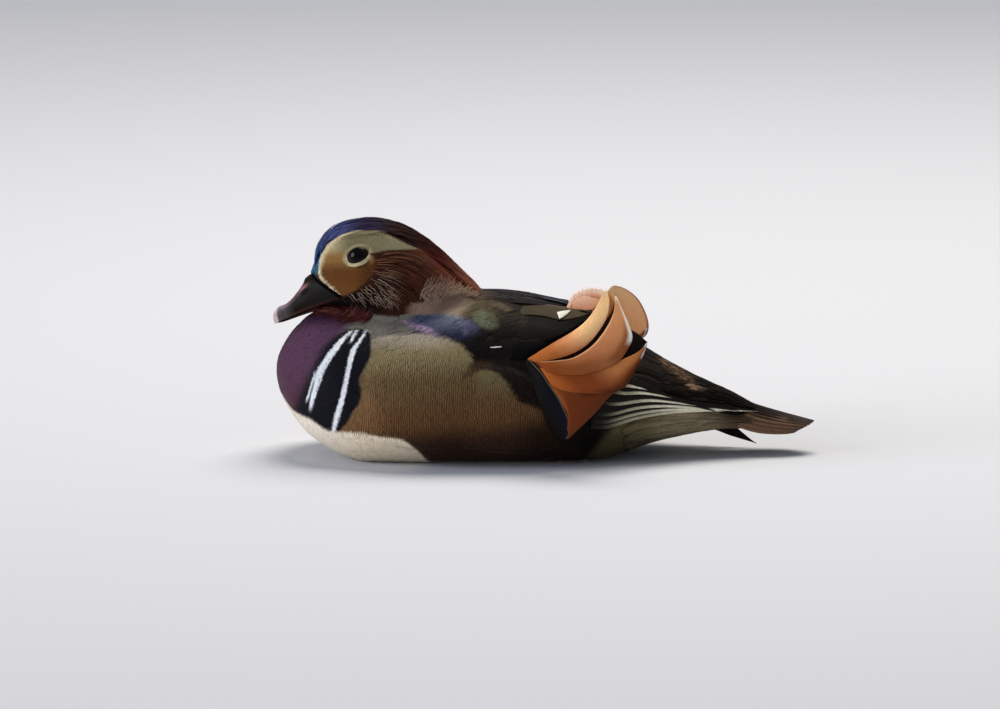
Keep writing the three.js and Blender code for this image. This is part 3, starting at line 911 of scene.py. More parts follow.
class Skin:
    """One skin under all the feathers of the body, neck and head."""

    INSET = 1.0
    VOXEL = 1.5
    FLOOR = 0.25
    # Swellings on each side, as length, height, half sizes, rise and turn: the front and rear
    # lobes of the flank and the folded shoulder.
    PADS = (
        (-62, 40, 35, 36, 6.5, 0.0), (-24, 28, 39, 28, 5.5, 0.35), (-32, 72, 58, 18, 3.0, 0.0),
    )

    def __init__(self) -> None:
        """Build the skin and keep what is needed to lay feathers on it."""
        self.piece = self._build()
        self.points = points_of(self.piece)
        self.tree = BVHTree.FromPolygons(
            self.points.tolist(), [tuple(p.vertices) for p in self.piece.data.polygons]
        )
        count = len(self.piece.data.polygons)
        got = {}
        for key, width in (("center", 3), ("normal", 3), ("area", 1)):
            got[key] = np.empty(count * width, np.float32)
            self.piece.data.polygons.foreach_get(key, got[key])
        self.centres = got["center"].reshape(-1, 3).astype(float) / MM
        self.normals = got["normal"].reshape(-1, 3).astype(float)
        self.areas = got["area"].astype(float) / MM**2

    def _pad(
        self, x: float, z: float, long: float, wide: float, rise: float, tilt: float, side: Side
    ) -> tuple[Array, list[tuple[int, ...]]]:
        """A lens-shaped swelling on the torso, such as a flank or a folded shoulder.

        Args:
            x: The middle's length.
            z: The middle's height.
            long: Half its length.
            wide: Half its width over the skin.
            rise: How far it stands out.
            tilt: How far it is turned, in radians.
            side: The side it is on.

        Returns:
            The points and the faces.
        """
        middle = TORSO.angle_at(x, z, side)
        sides = 40
        share = np.append(np.sin(np.linspace(0.12, math.pi / 2, 9)), 0.6)
        turn = 2 * math.pi * (np.arange(sides) + 0.5) / sides
        s, t = np.meshgrid(share, turn, indexing="ij")
        height = rise * np.sqrt(np.maximum(0, 1 - s * s)) - self.INSET
        height[-1] = -4.0
        u, v = np.cos(t) * s, np.sin(t) * s
        along = u * long * math.cos(tilt) - v * wide * math.sin(tilt)
        across = u * long * math.sin(tilt) + v * wide * math.cos(tilt)
        a = middle - across / float(TORSO.half(x))
        return TORSO.above(x + along, a, height).reshape(-1, 3), closed_rings(len(share), sides)

    def _build(self) -> bpy.types.Object:
        """Join the forms into one smooth closed skin.

        Returns:
            The skin's object.
        """
        shells = [TORSO.shell(90, 96, self.INSET), HEAD.shell(60, 72, self.INSET)]
        for side in Side:
            for *sizes, turn in self.PADS:
                shells.append(self._pad(*sizes, turn * side.value, side))
        pieces = [new_mesh_object("skin", *shell) for shell in shells]
        skin = pieces[0]
        skin.name = "skin"
        turn_outwards(*pieces)
        bpy.ops.object.join()
        skin.data.name = "skin"
        remesh = skin.modifiers.new("Remesh", "REMESH")
        remesh.mode = "VOXEL"
        remesh.voxel_size = self.VOXEL * MM
        smooth = skin.modifiers.new("Smooth", "SMOOTH")
        smooth.factor = 0.6
        smooth.iterations = 9
        apply_all(skin)
        points = points_of(skin)
        points[:, 2] = np.maximum(points[:, 2], self.FLOOR)
        # The skin draws back under the bill's base.
        ahead = Markings.BILL_LINE(plan_height(points)) - points[:, 0]
        held = (points[:, 2] > CHIN) & (points[:, 0] < -104) & (ahead > 0)
        points[:, 1] *= np.where(held, 1 - 0.3 * ease(0, 5, ahead), 1.0)
        points[:, 0] += np.where(held, 2.5 * ease(0, 6, ahead), 0.0)
        skin.data.vertices.foreach_set("co", (points * MM).astype(np.float32).ravel())
        shade_smooth(skin)
        return skin

    def finish(self) -> None:
        """Colour the skin as the coat over it and let it stand for the flesh."""
        colours = 0.9 * Markings.body(self.points)
        horn = wash("#171213", ("#3c3030", ease(90, 97, plan_height(self.points))))
        paint(self.piece, np.where(on_bill(self.points)[:, None], horn, colours))
        uv = self.piece.data.uv_layers.new(name="Vane")
        loops = np.empty(len(self.piece.data.loops), np.int32)
        self.piece.data.loops.foreach_get("vertex_index", loops)
        spots = self.points[loops][:, [1, 0]].astype(np.float32)
        uv.data.foreach_set("uv", spots.ravel())
        self.piece.data.materials.clear()
        self.piece.data.materials.append(BODY_DOWN.build())
        self.piece.data.materials.append(HornFinish().build())
        bare = on_bill(self.centres).astype(np.int32)
        self.piece.data.polygons.foreach_set("material_index", bare)
        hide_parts("torso", "head", "neck")
        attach(self.piece, BODY)
        LOG.info("skin: %d faces", len(self.piece.data.polygons))

    def lay(
        self, roots: Array, ways: Array, lengths: Array, stations: int,
        bend: Array | float = 0.0, steer: Callable[[float, float], float] | None = None,
    ) -> tuple[Array, Array]:
        """Lay shafts over the skin from their roots.

        Args:
            roots: The roots, in millimetres.
            ways: The direction of each shaft at its root.
            lengths: How long each shaft is, in millimetres.
            stations: How many points each shaft has.
            bend: How far each shaft turns about the skin's normal over its length, in radians.
            steer: The slope in the side view that the shafts keep to, by place, if given.

        Returns:
            The points of the shafts on the skin and the skin's outward directions there.
        """
        centres = np.empty((len(roots), stations, 3))
        normals = np.empty((len(roots), stations, 3))
        bends = np.broadcast_to(bend, (len(roots),))
        find = self.tree.find_nearest
        for n, (root, way, length) in enumerate(zip(roots, ways, lengths)):
            step = length / (stations - 1)
            turn = float(bends[n]) / (stations - 1)
            place, normal, _, _ = find(Vector(root))
            way = self._level(Vector(way), normal)
            centres[n, 0], normals[n, 0] = place, normal
            for i in range(1, stations):
                if steer:
                    slope = steer(place.x, place.z - RISE_PER_WIDTH * abs(place.y))
                    way = self._level(Vector((math.cos(slope), 0, math.sin(slope))), normal)
                if turn:
                    way = way * math.cos(turn) + normal.cross(way) * math.sin(turn)
                place, normal, _, _ = find(place + way * step)
                way = self._level(way, normal)
                centres[n, i], normals[n, i] = place, normal
        return centres, normals

    @staticmethod
    def _level(way: Vector, normal: Vector) -> Vector:
        """A direction laid along the skin."""
        return (way - normal * way.dot(normal)).normalized()

    def from_side(self, x: float, height: float, side: Side) -> Array | None:
        """The skin at a place of the side view, seen from ten degrees above.

        Args:
            x: The place's length.
            height: Its height in the side view.
            side: The side it is seen from.

        Returns:
            The point on the skin, or None where the view misses it.
        """
        far = 150.0
        start = Vector((x, side.value * far, height + RISE_PER_WIDTH * far))
        hit, _, _, _ = self.tree.ray_cast(start, Vector((0, -side.value, -RISE_PER_WIDTH)))
        return None if hit is None else np.array(hit)

    def scatter(self, chosen: Array, spacing: float, seed: int) -> Array:
        """Roots spread evenly over the chosen faces.

        Args:
            chosen: Which faces of the skin take part.
            spacing: How far apart the roots are, in millimetres.
            seed: The seed of the draw.

        Returns:
            The roots, in millimetres.
        """
        draw = np.random.default_rng(seed)
        want = self.areas / spacing**2 * chosen
        count = np.floor(want + draw.random(len(want))).astype(int)
        spread = np.repeat(np.arange(len(want)), count)
        shift = draw.uniform(-0.5, 0.5, (len(spread), 3)) * np.sqrt(self.areas[spread])[:, None]
        roots = self.centres[spread] + shift
        inward = np.einsum("ij,ij->i", shift, self.normals[spread])
        return roots - self.normals[spread] * inward[:, None]


class Markings:
    """The duck's colours by place, the same on skin and coat and on both sides.

    s is a point's length and t its height in the side view. The edges BELLY_EDGE, FLANK_TOP,
    HEAD_CAP and CREAM_LOW give a height by length, the others a length by height.
    """

    BILL_LINE = Curve(
        [(82, -103), (84, -105), (87.1, -108.9), (92.2, -116), (96.1, -120.6), (98.9, -122.4),
         (100.5, -131)]
    )
    BELLY_EDGE = Curve(
        [
            (-146, 40), (-141.6, 31.4), (-135.2, 23.1), (-126.1, 18.5), (-115.1, 12), (-98.7, 11.1),
            (-89.6, 9.3), (-77.5, 8.0), (-69, 2.8), (-60, -5), (110, -6),
        ]
    )
    BLACK_FRONT = Curve(
        [(10, -136.5), (24, -133), (28.7, -130.6), (37.9, -127), (47.2, -122.4), (57.4, -117),
         (64.8, -109.7), (68, -104)]
    )
    BLACK_REAR = Curve(
        [(9, -112), (11.1, -110.6), (17.5, -105.1), (23.1, -102.4), (28.7, -98.7), (34.2, -97.8),
         (39.8, -99.2), (43, -98.2), (49, -95.1), (54.6, -92.8), (61.1, -92.5), (65.5, -93.2),
         (68.5, -96)]
    )
    WHITE_FIRST = Curve(
        [(22, -126.4), (31.4, -124.2), (37.9, -122.2), (45.4, -120.0), (51.8, -116.4),
         (58.3, -111.8), (64.8, -106.6), (67, -103.9)]
    )
    WHITE_FIRST_HALF = Curve(
        [(20, 0.3), (26, 1.0), (37.9, 1.7), (46, 2.2), (56, 2.0), (62, 1.4), (67.5, 0.7)]
    )
    WHITE_SECOND = Curve(
        [(11, -113.6), (19.4, -111.5), (28.7, -108.7), (37.9, -106.5), (45.4, -105.1),
         (52.7, -103.5), (57.4, -102), (62, -98.9), (67.1, -95.8)]
    )
    WHITE_SECOND_HALF = Curve(
        [(9, 0.6), (14, 1.1), (24, 1.5), (37.9, 1.2), (48, 1.2), (55, 1.5), (62, 1.0), (67.5, 0.6)]
    )
    FLANK_TOP = Curve(
        [(-97, 60), (-92.5, 62.5), (-82, 65.3), (-68, 66), (-52, 63.5), (-44, 60), (-38.5, 54),
         (-36.5, 47.5), (-33, 45.8), (-29.7, 46), (-25, 44.6), (-21, 41.5), (-17, 36), (-12, 28.3),
         (-5, 26), (0, 24), (3, 17), (8, 9), (12, 4), (40, 2)]
    )
    HEAD_CAP = Curve(
        [(-131, 96), (-125, 97), (-122.0, 101), (-121.2, 107.4), (-118.8, 113.9), (-113.3, 118.5),
         (-106.0, 122.2), (-98.7, 123.4), (-89.6, 123.4), (-84.2, 121.3), (-77.8, 118.0),
         (-71.3, 114.8), (-66, 112.6), (-52, 101), (-40, 92), (-30, 84)]
    )
    FACE_FRONT = Curve(
        [(84, -108), (87.2, -110.3), (91.2, -114.9), (94.9, -119.1), (98.6, -122), (103, -122.4),
         (107.4, -121.6), (113.9, -118.6), (118.5, -113.3), (122.2, -106.0), (124, -98)]
    )
    CREAM_LOW = Curve([(-97, 108.9), (-93.2, 110.4), (-89.6, 111.3), (-82.3, 112.4), (-66, 113)])
    CHEEK_REAR = Curve(
        [(80, -114), (86.4, -109.2), (88.4, -104.6), (91.6, -99.2), (96.3, -94.2), (100.9, -90.5),
         (107.4, -91.5), (110.5, -93)]
    )

    @classmethod
    def body(cls, p: Array) -> Array:
        """The colour of the coat anywhere.

        Args:
            p: Points on or near the coat, in millimetres.

        Returns:
            A linear colour for each point.
        """
        flat = p.reshape(-1, 3)
        return mix(cls._torso(flat), cls._head(flat), cls.headness(flat)).reshape(p.shape)

    @staticmethod
    def headness(p: Array) -> Array:
        """How far points belong to the head and neck, from 0 to 1.

        Args:
            p: The points, in millimetres.

        Returns:
            The share of each point.
        """
        over = p[:, 2] - TORSO.roof(p[:, 0], p[:, 1])
        beyond = (p[:, 0] < -118) & (p[:, 2] > 80)
        near = np.abs(p[:, 1]) < HEAD.half(p[:, 0]) + 6
        share = ease(0.2, 2.0, over) * (p[:, 0] < -29) * near * (p[:, 2] > 64)
        return np.where(beyond, 1.0, share)

    @classmethod
    def _breast(cls, s: Array, t: Array) -> Array:
        """The breast's purple-maroon with its black band and two brushed white stripes.

        Args:
            s: The points' lengths, in millimetres.
            t: Their heights in the side view, in millimetres.

        Returns:
            A linear colour for each point.
        """
        colour = wash(
            "#4c2c33",
            ("#5b3a52", ease(15, 50, t)),
            ("#553a52", ease(-138, -118, s) * ease(40, 62, t)),
            ("#402638", ease(66, 76, t)),
        )
        shoulder = mix(rgb("#747066"), rgb("#86796d"), ease(-85, -50, s))
        colour = mix(colour, shoulder, ease(-111, -103, s - 0.75 * (t - 68)) * ease(60, 64, t))
        front, rear = cls.BLACK_FRONT(t), cls.BLACK_REAR(t)
        band = ease(-8, 0.8, s - front) ** 2 * ease(-0.5, 0.5, rear - s) * ease(69.2, 68.2, t)
        first = cls.WHITE_FIRST_HALF(t) - np.abs(s - cls.WHITE_FIRST(t))
        second = cls.WHITE_SECOND_HALF(t) - np.abs(s - cls.WHITE_SECOND(t))
        third = 0.55 - np.abs(s + 123.4 + (43.5 - t) * 0.31)
        tick = 0.7 - np.abs(s + 101.6 + (66.0 - t) * 0.5)
        # The first stripe is brushed: dark gaps run along its rear half.
        gaps = 0.5 + 0.5 * np.sin(5.2 * (s - 0.35 * t)) * np.sin(0.55 * t + 1.1 * s)
        brushed = ease(0.35, 0.75, gaps) * ease(0, 1.2, s - cls.WHITE_FIRST(t)) * ease(60, 50, t)
        white = np.maximum.reduce(
            [
                ease(-0.25, 0.3, first) * ease(22, 27, t) * (1 - 0.75 * brushed),
                ease(-0.2, 0.25, second) * ease(9.5, 13, t),
                ease(-0.2, 0.2, third) * ease(27, 31, t) * ease(46, 42, t),
                ease(-0.2, 0.2, tick) * ease(60.5, 62.5, t),
            ]
        )
        return wash(colour, ("#101118", band), ("#f6fbff", white * ease(68.6, 67.4, t)))

    @classmethod
    def _flank(cls, s: Array, t: Array) -> Array:
        """The flank's golden olive, greyer above and red-brown below, and darker towards the
        bottom, partly as painted shade.

        Args:
            s: The points' lengths, in millimetres.
            t: Their heights in the side view, in millimetres.

        Returns:
            A linear colour for each point.
        """
        # Lighter upwards and darker towards the bottom: partly the flank's own colours, partly
        # painted shade.
        colour = wash(
            "#3a261a",
            ("#63452b", ease(4, 18, t - 0.08 * (s + 60))),
            ("#6b5638", ease(16, 40, t - 0.06 * (s + 60))),
            ("#7f7353", ease(38, 54, t)),
            ("#9c9383", ease(54, 65, t) * ease(-36, -60, s)),
            ("#8c6845", ease(-78, -100, s) * ease(40, 22, t) * 0.6),
            ("#6d6144", ease(-38, -30, s) * ease(30, 42, t)),
        )
        return mix(colour, colour * 0.42, ease(-26, 6, s) * ease(26, 10, t))

    @classmethod
    def _wing(cls, s: Array, t: Array) -> Array:
        """The folded wing: buff shoulder, blue and lilac patch, olive, then black.

        Args:
            s: The points' lengths, in millimetres.
            t: Their heights in the side view, in millimetres.

        Returns:
            A linear colour for each point.
        """
        olive = ease(-52, -42, s) * ease(-20, -32, s) * ease(72, 78, t)
        green = oval(s, t, (-30.5, 73.625), (7.5, 5.2), -0.25)
        # The high oval is a pale painted highlight on the long feathers of the back.
        high = oval(s, t, (-22, 81.5), (6.5, 2.0), -0.35)
        pale = oval(s, t, (-27, 74), (4.0, 1.5), -0.9)
        colour = wash(
            "#100d0c",
            ("#171411", ease(50, 70, t)),
            ("#28231d", ease(67, 75, t + 0.25 * (s + 12)) * ease(16, -2, s)),
            ("#4b4333", olive),
            ("#565b47", ease(-0.3, 0.7, green)),
            ("#54493a", ease(-0.1, 0.6, high)),
            ("#41382b", 0.7 * ease(-0.1, 0.6, pale)),
            ("#2c2927", ease(84, 88, t) * ease(-40, -30, s)),
        )
        shoulder = mix(rgb("#5f5c57"), rgb("#a39180"), ease(-82, -54, s) * ease(68, 76, t))
        colour = mix(colour, shoulder, ease(-42, -56, s - 0.9 * (t - 74)))
        blue = oval(s, t, (-53.5, 70.32), (20.0, 7.6), -0.12)
        # The lighter grey-blue over the upper part of the patch is a painted highlight on its dome.
        painted_dome_highlight = ease(68, 75, t) * ease(-64, -52, s) * ease(-37, -44, s)
        tone = wash(
            "#26273b",
            ("#464a60", ease(64, 72, t)),
            ("#565c6a", 0.85 * painted_dome_highlight),
            ("#8b847c", ease(74.5, 78, t + 0.1 * (s + 52))),
            ("#6b655f", 0.6 * ease(-66, -78, s)),
        )
        colour = mix(colour, tone, ease(-0.25, 0.35, blue))
        rim = np.abs(np.hypot((s + 55) / 14.5, (t - 65) / 12.0) - 1) * 13
        rim = ease(1.4, 0.2, rim) * (s > -52) * ease(64, 67, t)
        pink = oval(s, t, (-63, 68), (7.5, 2.4), -0.33)
        pink = np.maximum(pink, 0.6 * oval(s, t, (-72, 71.5), (4.5, 1.3), -0.33))
        streak = 0.65 + 0.35 * np.sin(3.4 * (t + 0.33 * s))
        return wash(colour, ("#6b707e", 0.3 * rim), ("#9a829d", ease(-0.2, 0.7, pink) * streak))

    @classmethod
    def trunk(cls, p: Array) -> Array:
        """The colour of the coat behind the head, wherever the points are."""
        return cls._torso(p.reshape(-1, 3)).reshape(p.shape)

    @classmethod
    def _torso(cls, p: Array) -> Array:
        """The colour of the breast, flank, belly, wing, back and rump.

        Args:
            p: The points, in millimetres.

        Returns:
            A linear colour for each point.
        """
        s, t, z = p[:, 0], plan_height(p), p[:, 2]
        top = cls.FLANK_TOP(s)
        colour = cls._breast(s, t)
        above = t - 51.5 - 0.45 * np.maximum(0, s + 8)
        wing = mix(rgb("#1c1612"), cls._wing(s, t), ease(-1, 2, above))
        brown = mix(rgb("#1b1410"), rgb("#3a2c20"), ease(-22, -34, s) * ease(56, 48, t))
        wing = mix(wing, brown, ease(52, 50, t))
        colour = mix(colour, wing, ease(-93, -80, s - 0.8 * np.maximum(0, t - 64)))
        rear = cls.BLACK_REAR(t)
        wedge = (t < 52.5 + (s + 37) * 1.84) & (s < -34) & (t > 40.0 + 0.5 * (s + 44))
        beside = ease(-0.6, 0.6, s - rear) * ease(0.9, -0.9, t - top) * (s < 30)
        beside = beside * np.where(wedge, 0.35, 1.0)
        colour = mix(colour, cls._flank(s, t), beside)
        # Rump: black at the sides, streaked buff and brown towards the tail.
        rump = rgb("#201b17") + np.zeros((len(s), 3))
        across = t - 52 + 0.78 * (s - 64)
        streaks = 0.5 + 0.5 * np.sin(2.8 * across + 0.5 * np.sin(0.45 * s))
        buff = mix(rgb("#2c2018"), rgb("#94765a"), streaks**1.5)
        zone = ease(63, 67, s) * ease(87, 80, s) * ease(-2.2, -0.8, across) * ease(6, 4.0, across)
        rump = mix(rump, buff, 0.6 * zone)
        patch = oval(s, t, (85, 36.4), (6.5, 1.3), -0.24)
        rump = mix(rump, rgb("#a5876c"), 0.8 * ease(-0.1, 0.4, patch))
        colour = mix(colour, rump, ease(30, 38, s) * ease(24, 30, z))
        behind = s - 25 - 0.85 * t
        under = wash("#15110e", ("#62593f", ease(-1, 6, behind)), ("#857b5d", ease(10, 34, behind)))
        # Towards the bottom the buff under the tail is darkened: painted shade.
        under = mix(under, under * 0.45, ease(15, 6, t))
        under = mix(under, rgb("#8e8063"), ease(70, 100, s))
        colour = mix(colour, under, ease(14, 26, s) * ease(29, 25, z))
        # Belly: white, creamier behind the breast.
        belly = mix(rgb("#f6ead6"), rgb("#f2e2c6"), ease(-125, -95, s))
        below = ease(0.7, -0.7, t - cls.BELLY_EDGE(s)) * (s < 40)
        below = np.maximum(below, ease(1.4, 0.7, z) * ease(60, 30, s))
        return mix(colour, belly, below)

    @classmethod
    def _head(cls, p: Array) -> Array:
        """The colour of the face, crown, crest and neck.

        Args:
            p: The points, in millimetres.

        Returns:
            A linear colour for each point.
        """
        s, t = p[:, 0], plan_height(p)
        # Crown: teal forehead, blue, navy, maroon, then chestnut to the nape.
        cap = wash(
            "#356670",
            ("#3a5a88", ease(99, 107, t)),
            ("#4a5280", ease(110, 119, t)),
            ("#27223a", ease(-114, -96, s)),
            ("#23090b", ease(-92, -80, s)),
            ("#4f2119", ease(-66, -48, s)),
            ("#8c5643", ease(-54, -38, s)),
        )
        # Below the cheek the front of the neck is painted near black: a painted shadow under the
        # head.
        dark = ease(93, 87, t) * ease(-80, -94, s)
        lip = oval(s, t, (-119, 83), (6, 2.2), 0.25)
        buff = ease(1.5, -1.5, t - Ruff.LOWER(s)) * ease(-76, -68, s)
        neck = wash(
            "#341a12",
            ("#5a2b1b", ease(-80, -58, s)),
            ("#120a0a", dark),
            ("#8a4936", ease(-0.2, 0.5, lip)),
            ("#92796a", buff),
        )
        over = t - cls.HEAD_CAP(s)
        colour = mix(neck, cap, ease(-0.5, 0.5, over) * ease(-66, -70, s))
        colour = mix(colour, cap, ease(-70, -66, s) * ease(-1, 4, over))
        return mix(colour, cls._face(s, t), cls._on_face(s, t, over))

    @classmethod
    def _on_face(cls, s: Array, t: Array, over: Array) -> Array:
        """How far points lie on the pale face and its stripe, from 0 to 1.

        Args:
            s: The points' lengths, in millimetres.
            t: Their heights in the side view, in millimetres.
            over: How high they lie over the crown's lower edge, in millimetres.

        Returns:
            The share of each point.
        """
        inside = ease(0.35, -0.35, over) * ease(-0.35, 0.35, s - cls.FACE_FRONT(t))
        behind = np.where(
            t > 109.4,
            ease(-0.4, 0.4, t - cls.CREAM_LOW(s)),
            ease(-1.6, 1.6, cls.CHEEK_REAR(t) - s),
        )
        return inside * behind * ease(84.5, 86.5, t)

    @classmethod
    def _face(cls, s: Array, t: Array) -> Array:
        """The face: cream above and at its rim, golden before the eye, brown below it.

        Args:
            s: The points' lengths, in millimetres.
            t: Their heights in the side view, in millimetres.

        Returns:
            A linear colour for each point.
        """
        gold = wash(
            "#6b4321",
            ("#967040", ease(100, 108, t)),
            ("#553217", ease(-103, -94, s) * ease(108, 103, t)),
            ("#724a25", ease(97, 89, t) * ease(-98, -106, s)),
        )
        # Behind its front edge the cream is painted darker: painted shade.
        cream = wash("#c8b68a", ("#7d7557", ease(-118, -104, s)), ("#827b60", ease(-92, -78, s)))
        colour = mix(gold, cream, ease(108.5, 114.5, t + 0.25 * np.maximum(0, s + 100)))
        rim = s - cls.FACE_FRONT(t)
        wide = 2.4 + 2.2 * ease(99, 107, t)
        colour = wash(
            colour,
            ("#e4d3a8", ease(wide, 0.6, rim) * ease(88, 92, t)),
            ("#f3e4c0", ease(1.3, 0.5, rim) * 0.85),
        )
        beside = s - Eye.SPOT[0]
        level = t - Eye.SPOT[1] - Eye.SLANT * beside
        eye = np.hypot(beside / 1.3, level)
        pale = mix(rgb("#d0c396"), rgb("#a69c76"), ease(-2, 3, level))
        return mix(colour, pale, 0.8 * ease(6.6, 5.4, eye))


# ------------------------------------------------------------------ coat
@dataclass(frozen=True)
class Tract:
    """A part of the coat whose feathers are alike.

    Roots lie as deep as the bite, tips as high as the lift. Sway turns the feathers at random,
    stray moves the place whose colour they take, and shade makes them lighter or darker. Edge
    darkens the rims, own is a colour of their own, headed says whether the head's colours
    reach them, and a parted tract makes a piece for each side.
    """

    name: str
    slot: str
    finish: PlumageFinish
    chosen: Callable[[Array], Array]
    way: Callable[[Array], Array]
    spacing: float
    length: float
    width: float
    lift: float
    columns: int = 3
    stations: int = 4
    ragged: float = 0.5
    sway: float = 0.12
    bite: float = 0.35
    stray: float = 0.15
    shade: float = 0.06
    edge: float = 0.0
    outline: Outline = Outline.COVERT
    crown: float = 0.18
    own: str | None = None
    headed: bool = True
    parted: bool = False
    bars: Callable[[Array, Array], Array] | None = None


def backwards(p: Array) -> Array:
    """Towards the tail, dipping over the front of the breast and along its stripes.

    Args:
        p: The feathers' roots, in millimetres.

    Returns:
        A direction for each feather.
    """
    dip = -1.4 * ease(-105, -142, p[:, 0]) - 0.15 * ease(70, 40, p[:, 2])
    way = np.stack([np.ones(len(p)), np.zeros(len(p)), dip], axis=-1)
    s, t = p[:, 0], plan_height(p)
    striped = ease(-5, 0, s - Markings.BLACK_FRONT(t)) * ease(-2, 2, Markings.BLACK_REAR(t) - s)
    striped = striped * ease(72, 66, t)
    return mix(way, np.array([-0.22, 0.0, -1.0]), striped)


def on_rear_lobe(s: Array, t: Array) -> Array:
    """Whether points of the side view are on the flank's rear lobe."""
    return (s > -37) | (t < 40 + 0.5 * (s + 44)) & (s > -44)


def along_flank(p: Array) -> Array:
    """Fanning over each flank, from down and back at its front to up and back behind.

    Args:
        p: The feathers' roots, in millimetres.

    Returns:
        A direction for each feather.
    """
    s, t = p[:, 0], plan_height(p)
    turn = 0.75 * ease(-88, -46, s) * ease(14, 46, t)
    turn = turn - 1.0 * ease(-68, -90, s) * ease(47, 60, t)
    small = -0.7 * ease(-26, -36, s) * ease(34, 44, t) + 0.75 * ease(-26, -10, s) * ease(10, 30, t)
    turn = np.where(on_rear_lobe(s, t), small, turn)
    return np.stack([np.cos(turn), np.zeros(len(p)), np.sin(turn)], axis=-1)


def flank_bars(p: Array, roots: Array) -> Array:
    """The phase of the flank's bars, in millimetres: they arch over each of its two lobes.

    Args:
        p: The points of the feathers.
        roots: The feathers' roots, which tell the lobe.

    Returns:
        The phase at every point.
    """
    s, t = p[..., 0], plan_height(p)
    rs, rt = roots[:, 0], plan_height(roots)
    small = (on_rear_lobe(rs, rt) & ((rs > -37) | (rt > 24)))[:, None, None]
    middle = np.where(small, -27.0, -70.0)
    over = np.maximum(0, t - np.where(small, 27.0, 46.0))
    return middle + (s - middle) * np.exp(over * over / (over + 6.0) / 26.0)


def over_face(p: Array) -> Array:
    """Away from the bill, spreading over the face, but along the pale rim beside the bill.

    Args:
        p: The feathers' roots, in millimetres.

    Returns:
        A direction for each feather.
    """
    bill = np.array([-134.0, 0.0, 92.0])
    way = unit(p - bill)
    way[:, 2] -= 0.35 * ease(-112, -90, p[:, 0])
    t = plan_height(p)
    rim = ease(2.4, 1.0, p[:, 0] - Markings.FACE_FRONT(t)) * ease(84, 87, t) * ease(102, 98, t)
    return mix(way, np.array([0.72, 0.0, -0.69]), rim)


def upwards(p: Array) -> Array:
    """Back and up, as loose down stands over the bend of the wing."""
    rise = 0.1 + 0.6 * ease(-38, -50, p[:, 0]) + 1.1 * ease(-50, -66, p[:, 0])
    return np.stack([np.ones(len(p)), np.zeros(len(p)), rise], axis=-1)


def before_bill(s: Array, t: Array) -> Array:
    """Whether points of the side view are on the bill, before the face begins."""
    return (t > CHIN) & (s < Markings.BILL_LINE(t))


def on_bill(p: Array) -> Array:
    """Whether points of the skin are under the bill's base."""
    return before_bill(p[:, 0], plan_height(p)) & (p[:, 2] > CHIN)


def on_flank(c: Array) -> Array:
    """The faces of the skin on the flanks, between the stripes and the wing.

    Args:
        c: The middles of the skin's faces, in millimetres.

    Returns:
        Whether each face takes part.
    """
    s, t = c[:, 0], plan_height(c)
    return (
        (s > Markings.BLACK_REAR(t) + 0.3)
        & (t < Markings.FLANK_TOP(s) + 0.6)
        & (s < 26)
        & (c[:, 2] > 4)
        & (t > Markings.BELLY_EDGE(s))
        & ~on_head(c)
    )


def on_head(c: Array) -> Array:
    """The faces of the skin on the head and neck, clear of the eyes and the bill.

    Args:
        c: The middles of the skin's faces, in millimetres.

    Returns:
        Whether each face takes part.
    """
    s, t = c[:, 0], plan_height(c)
    eye = (oval(s, t, Eye.SPOT, Eye.OPENING, Eye.SLANT) > 0) & (np.abs(c[:, 1]) > 8)
    return (Markings.headness(c) > 0.5) & ~eye & ~before_bill(s, t)


def on_breast(c: Array) -> Array:
    """The faces of the skin on the breast, up to the end of the stripes.

    Args:
        c: The middles of the skin's faces, in millimetres.

    Returns:
        Whether each face takes part.
    """
    s, t = c[:, 0], plan_height(c)
    clear = (Markings.headness(c) <= 0.5) & ~on_flank(c)
    return clear & (s < np.maximum(Markings.BLACK_REAR(t) + 2, -84 * (t > 64)))


def on_wing(c: Array) -> Array:
    """The faces of the skin under the folded wings and over the back.

    Args:
        c: The middles of the skin's faces, in millimetres.

    Returns:
        Whether each face takes part.
    """
    s, t = c[:, 0], plan_height(c)
    clear = (Markings.headness(c) <= 0.5) & ~on_flank(c) & ~on_breast(c)
    return clear & (s < 34) & (t > np.maximum(50, Markings.FLANK_TOP(s))) & (c[:, 2] > 40)


def on_tuft(c: Array) -> Array:
    """The faces of the skin where loose buff down stands behind the ruff.

    Args:
        c: The middles of the skin's faces, in millimetres.

    Returns:
        Whether each face takes part.
    """
    s, t = c[:, 0], plan_height(c)
    low = t > 80.5 + 5.5 * ease(-60, -44, s)
    return (s > -68) & (s < -33) & low & (t < Ruff.LOWER(s) - 0.3)


def on_rear(c: Array) -> Array:
    """The faces of the skin on the belly, the rump and the dark side behind the flank."""
    others = on_breast(c) | on_flank(c) | on_wing(c)
    return (Markings.headness(c) <= 0.5) & ~others


